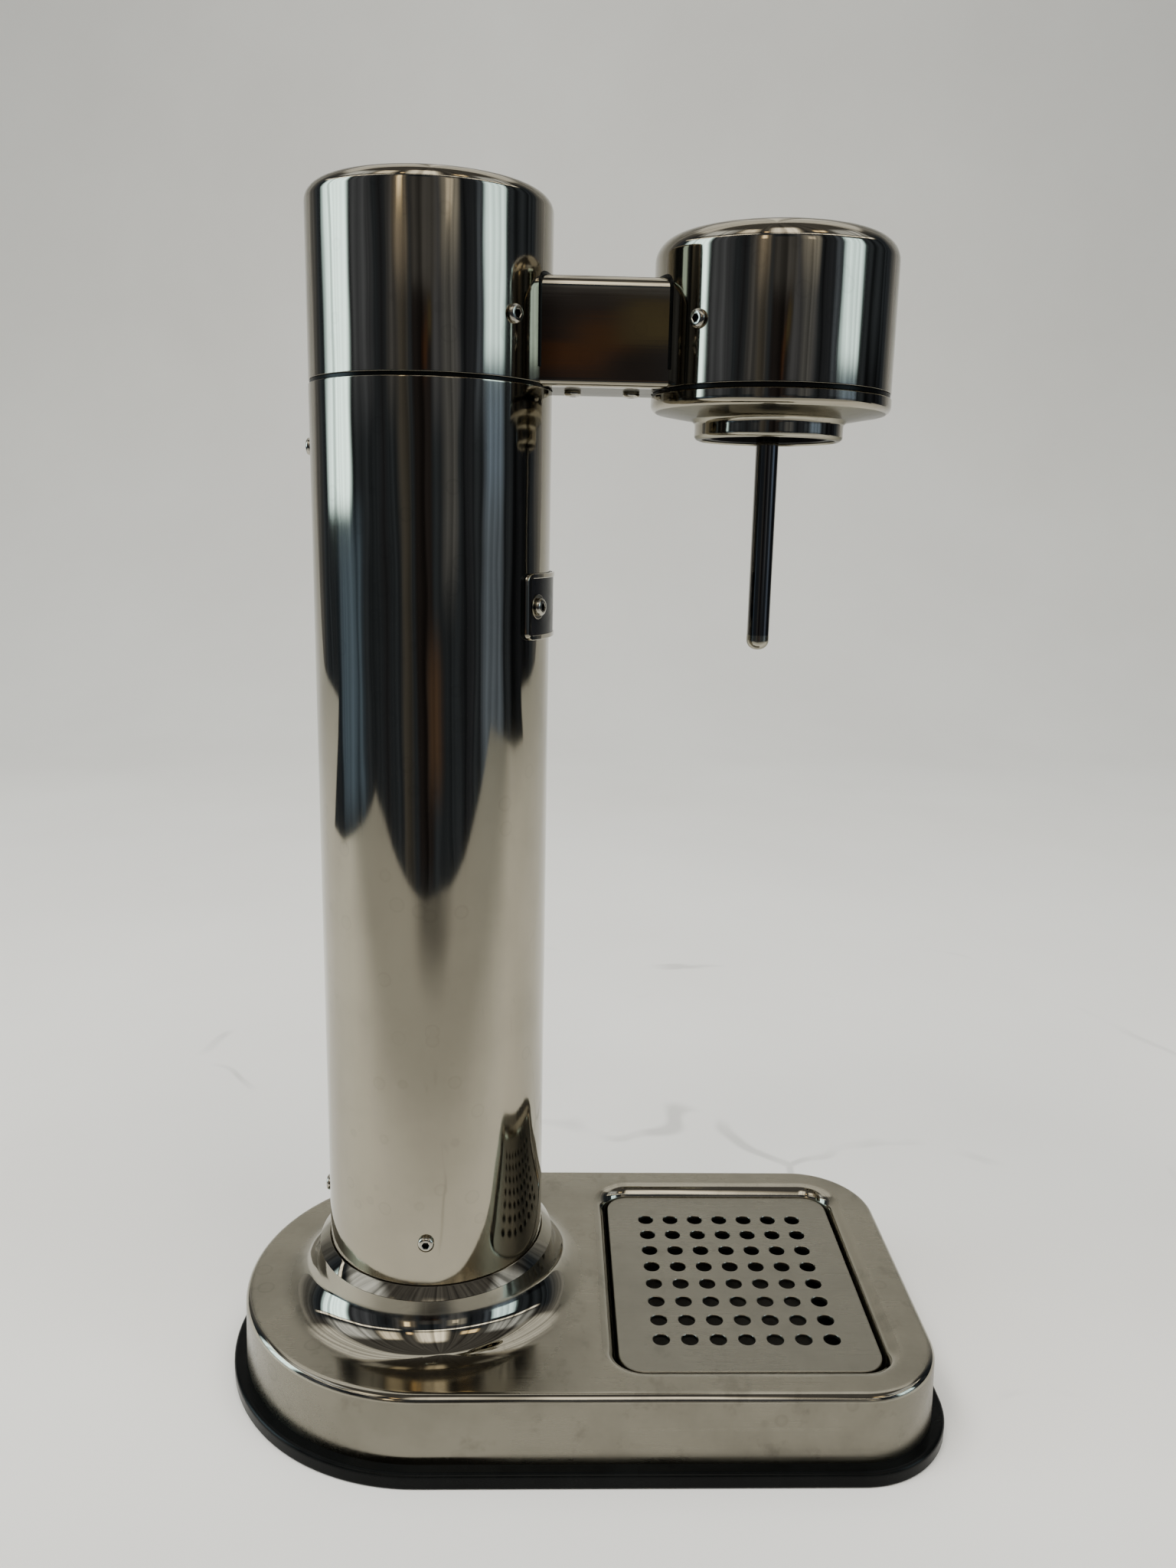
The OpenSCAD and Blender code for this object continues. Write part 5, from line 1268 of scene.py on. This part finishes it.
def build_world():
    world = bpy.data.worlds.new("studio")
    bpy.context.scene.world = world
    world.use_nodes = True
    tree = world.node_tree
    tree.nodes.clear()
    out = tree.nodes.new("ShaderNodeOutputWorld")
    source = tree.nodes.new("ShaderNodeTexCoord")
    split = tree.nodes.new("ShaderNodeSeparateXYZ")
    link(tree, source, "Generated", split, "Vector")
    back_x = math_node(tree, "MULTIPLY", split.outputs["X"], -1.0)
    back_y = math_node(tree, "MULTIPLY", split.outputs["Y"], -1.0)
    turn = math_node(tree, "ARCTAN2", back_y, back_x)
    azimuth = math_node(tree, "MULTIPLY", turn, 180.0 / math.pi)
    height = split.outputs["Z"]
    away = math_node(tree, "ABSOLUTE", azimuth, 0.0)
    raised = ranged(tree, height, CEILING_FROM, CEILING_TO, 0.0, 1.0, True)
    room = mixed(tree, "MIX", raised, ROOM, CEILING)
    behind = ranged(tree, away, BEHIND_FROM, BEHIND_TO, 0.0, 1.0, True)
    colour = mixed(tree, "MIX", behind, room, BEHIND)
    for a0, a1, a_edge, z0, z1, z_edge, tint in CARDS:
        mask = between(tree, azimuth, a0, a1, a_edge)
        mask = math_node(tree, "MULTIPLY", mask, between(tree, height, z0, z1, z_edge))
        colour = mixed(tree, "MIX", mask, colour, tint)
    streaks = noise_along(tree, azimuth, STREAKS, 4.0)
    colour = shaded(tree, colour, ramp(tree, streaks, [(0.32, 0.45), (0.5, 1.0), (0.62, 1.35)]))
    light = tree.nodes.new("ShaderNodeBackground")
    tree.links.new(colour, light.inputs["Color"])
    shown = tree.nodes.new("ShaderNodeBackground")
    shown.inputs["Color"].default_value = (*SHOWN, 1.0)
    path = tree.nodes.new("ShaderNodeLightPath")
    mix = tree.nodes.new("ShaderNodeMixShader")
    link(tree, path, "Is Camera Ray", mix, 0)
    link(tree, light, "Background", mix, 1)
    link(tree, shown, "Background", mix, 2)
    link(tree, mix, "Shader", out, "Surface")


# Soft boxes overhead: name, place, point it is aimed at, width, depth, power in watts
BOXES = [
    ("box_left", (-0.35, 0.62, 1.45), (0.1, -0.1, 0.0), 0.80, 0.34, 21.0),
    ("box_right", (-0.45, -0.50, 1.50), (0.1, 0.1, 0.0), 0.80, 0.34, 14.0),
    ("box_back", (0.75, 0.0, 1.70), (1.9, 0.0, 0.3), 1.50, 0.50, 3.8),
]


LIGHT_TINT = (1.0, 0.985, 0.95)


def build_lights():
    for name, spot, target, width, depth, power in BOXES:
        light = bpy.data.lights.new(name, "AREA")
        light.shape = "RECTANGLE"
        light.size = width
        light.size_y = depth
        light.energy = power
        light.color = LIGHT_TINT
        obj = add_object(name, light)
        obj.location = spot
        obj.rotation_euler = (Vector(target) - Vector(spot)).to_track_quat("-Z", "Y").to_euler()
        obj.visible_glossy = False


# The camera, fitted to the photograph's outlines
FOCAL_PX = 1562.0
FRAME_PX = 2048.0
SENSOR_MM = 36.0
CAMERA_AT = (-0.4139, 0.0135, 0.3126)
YAW = 0.0321
PITCH = -0.2136
ROLL = 0.0211
CLIP_START = 0.01


def build_camera():
    cam = bpy.data.cameras.new("camera")
    cam.sensor_fit = "VERTICAL"
    cam.sensor_height = SENSOR_MM
    cam.lens = FOCAL_PX / FRAME_PX * SENSOR_MM
    cam.clip_start = CLIP_START
    obj = add_object("camera", cam)
    # Without a turn the camera looks along +X with its right hand to -Y
    flat = math.cos(PITCH)
    forward = Vector((flat * math.cos(YAW), -flat * math.sin(YAW), math.sin(PITCH)))
    right = Vector((-math.sin(YAW), -math.cos(YAW), 0.0))
    up = right.cross(forward)
    c = math.cos(ROLL)
    s = math.sin(ROLL)
    right, up = right * c + up * s, up * c - right * s
    turn = Matrix((right, up, -forward)).transposed().to_4x4()
    obj.matrix_world = Matrix.Translation(CAMERA_AT) @ turn
    bpy.context.scene.camera = obj


build_stage()
build_world()
build_lights()
build_camera()
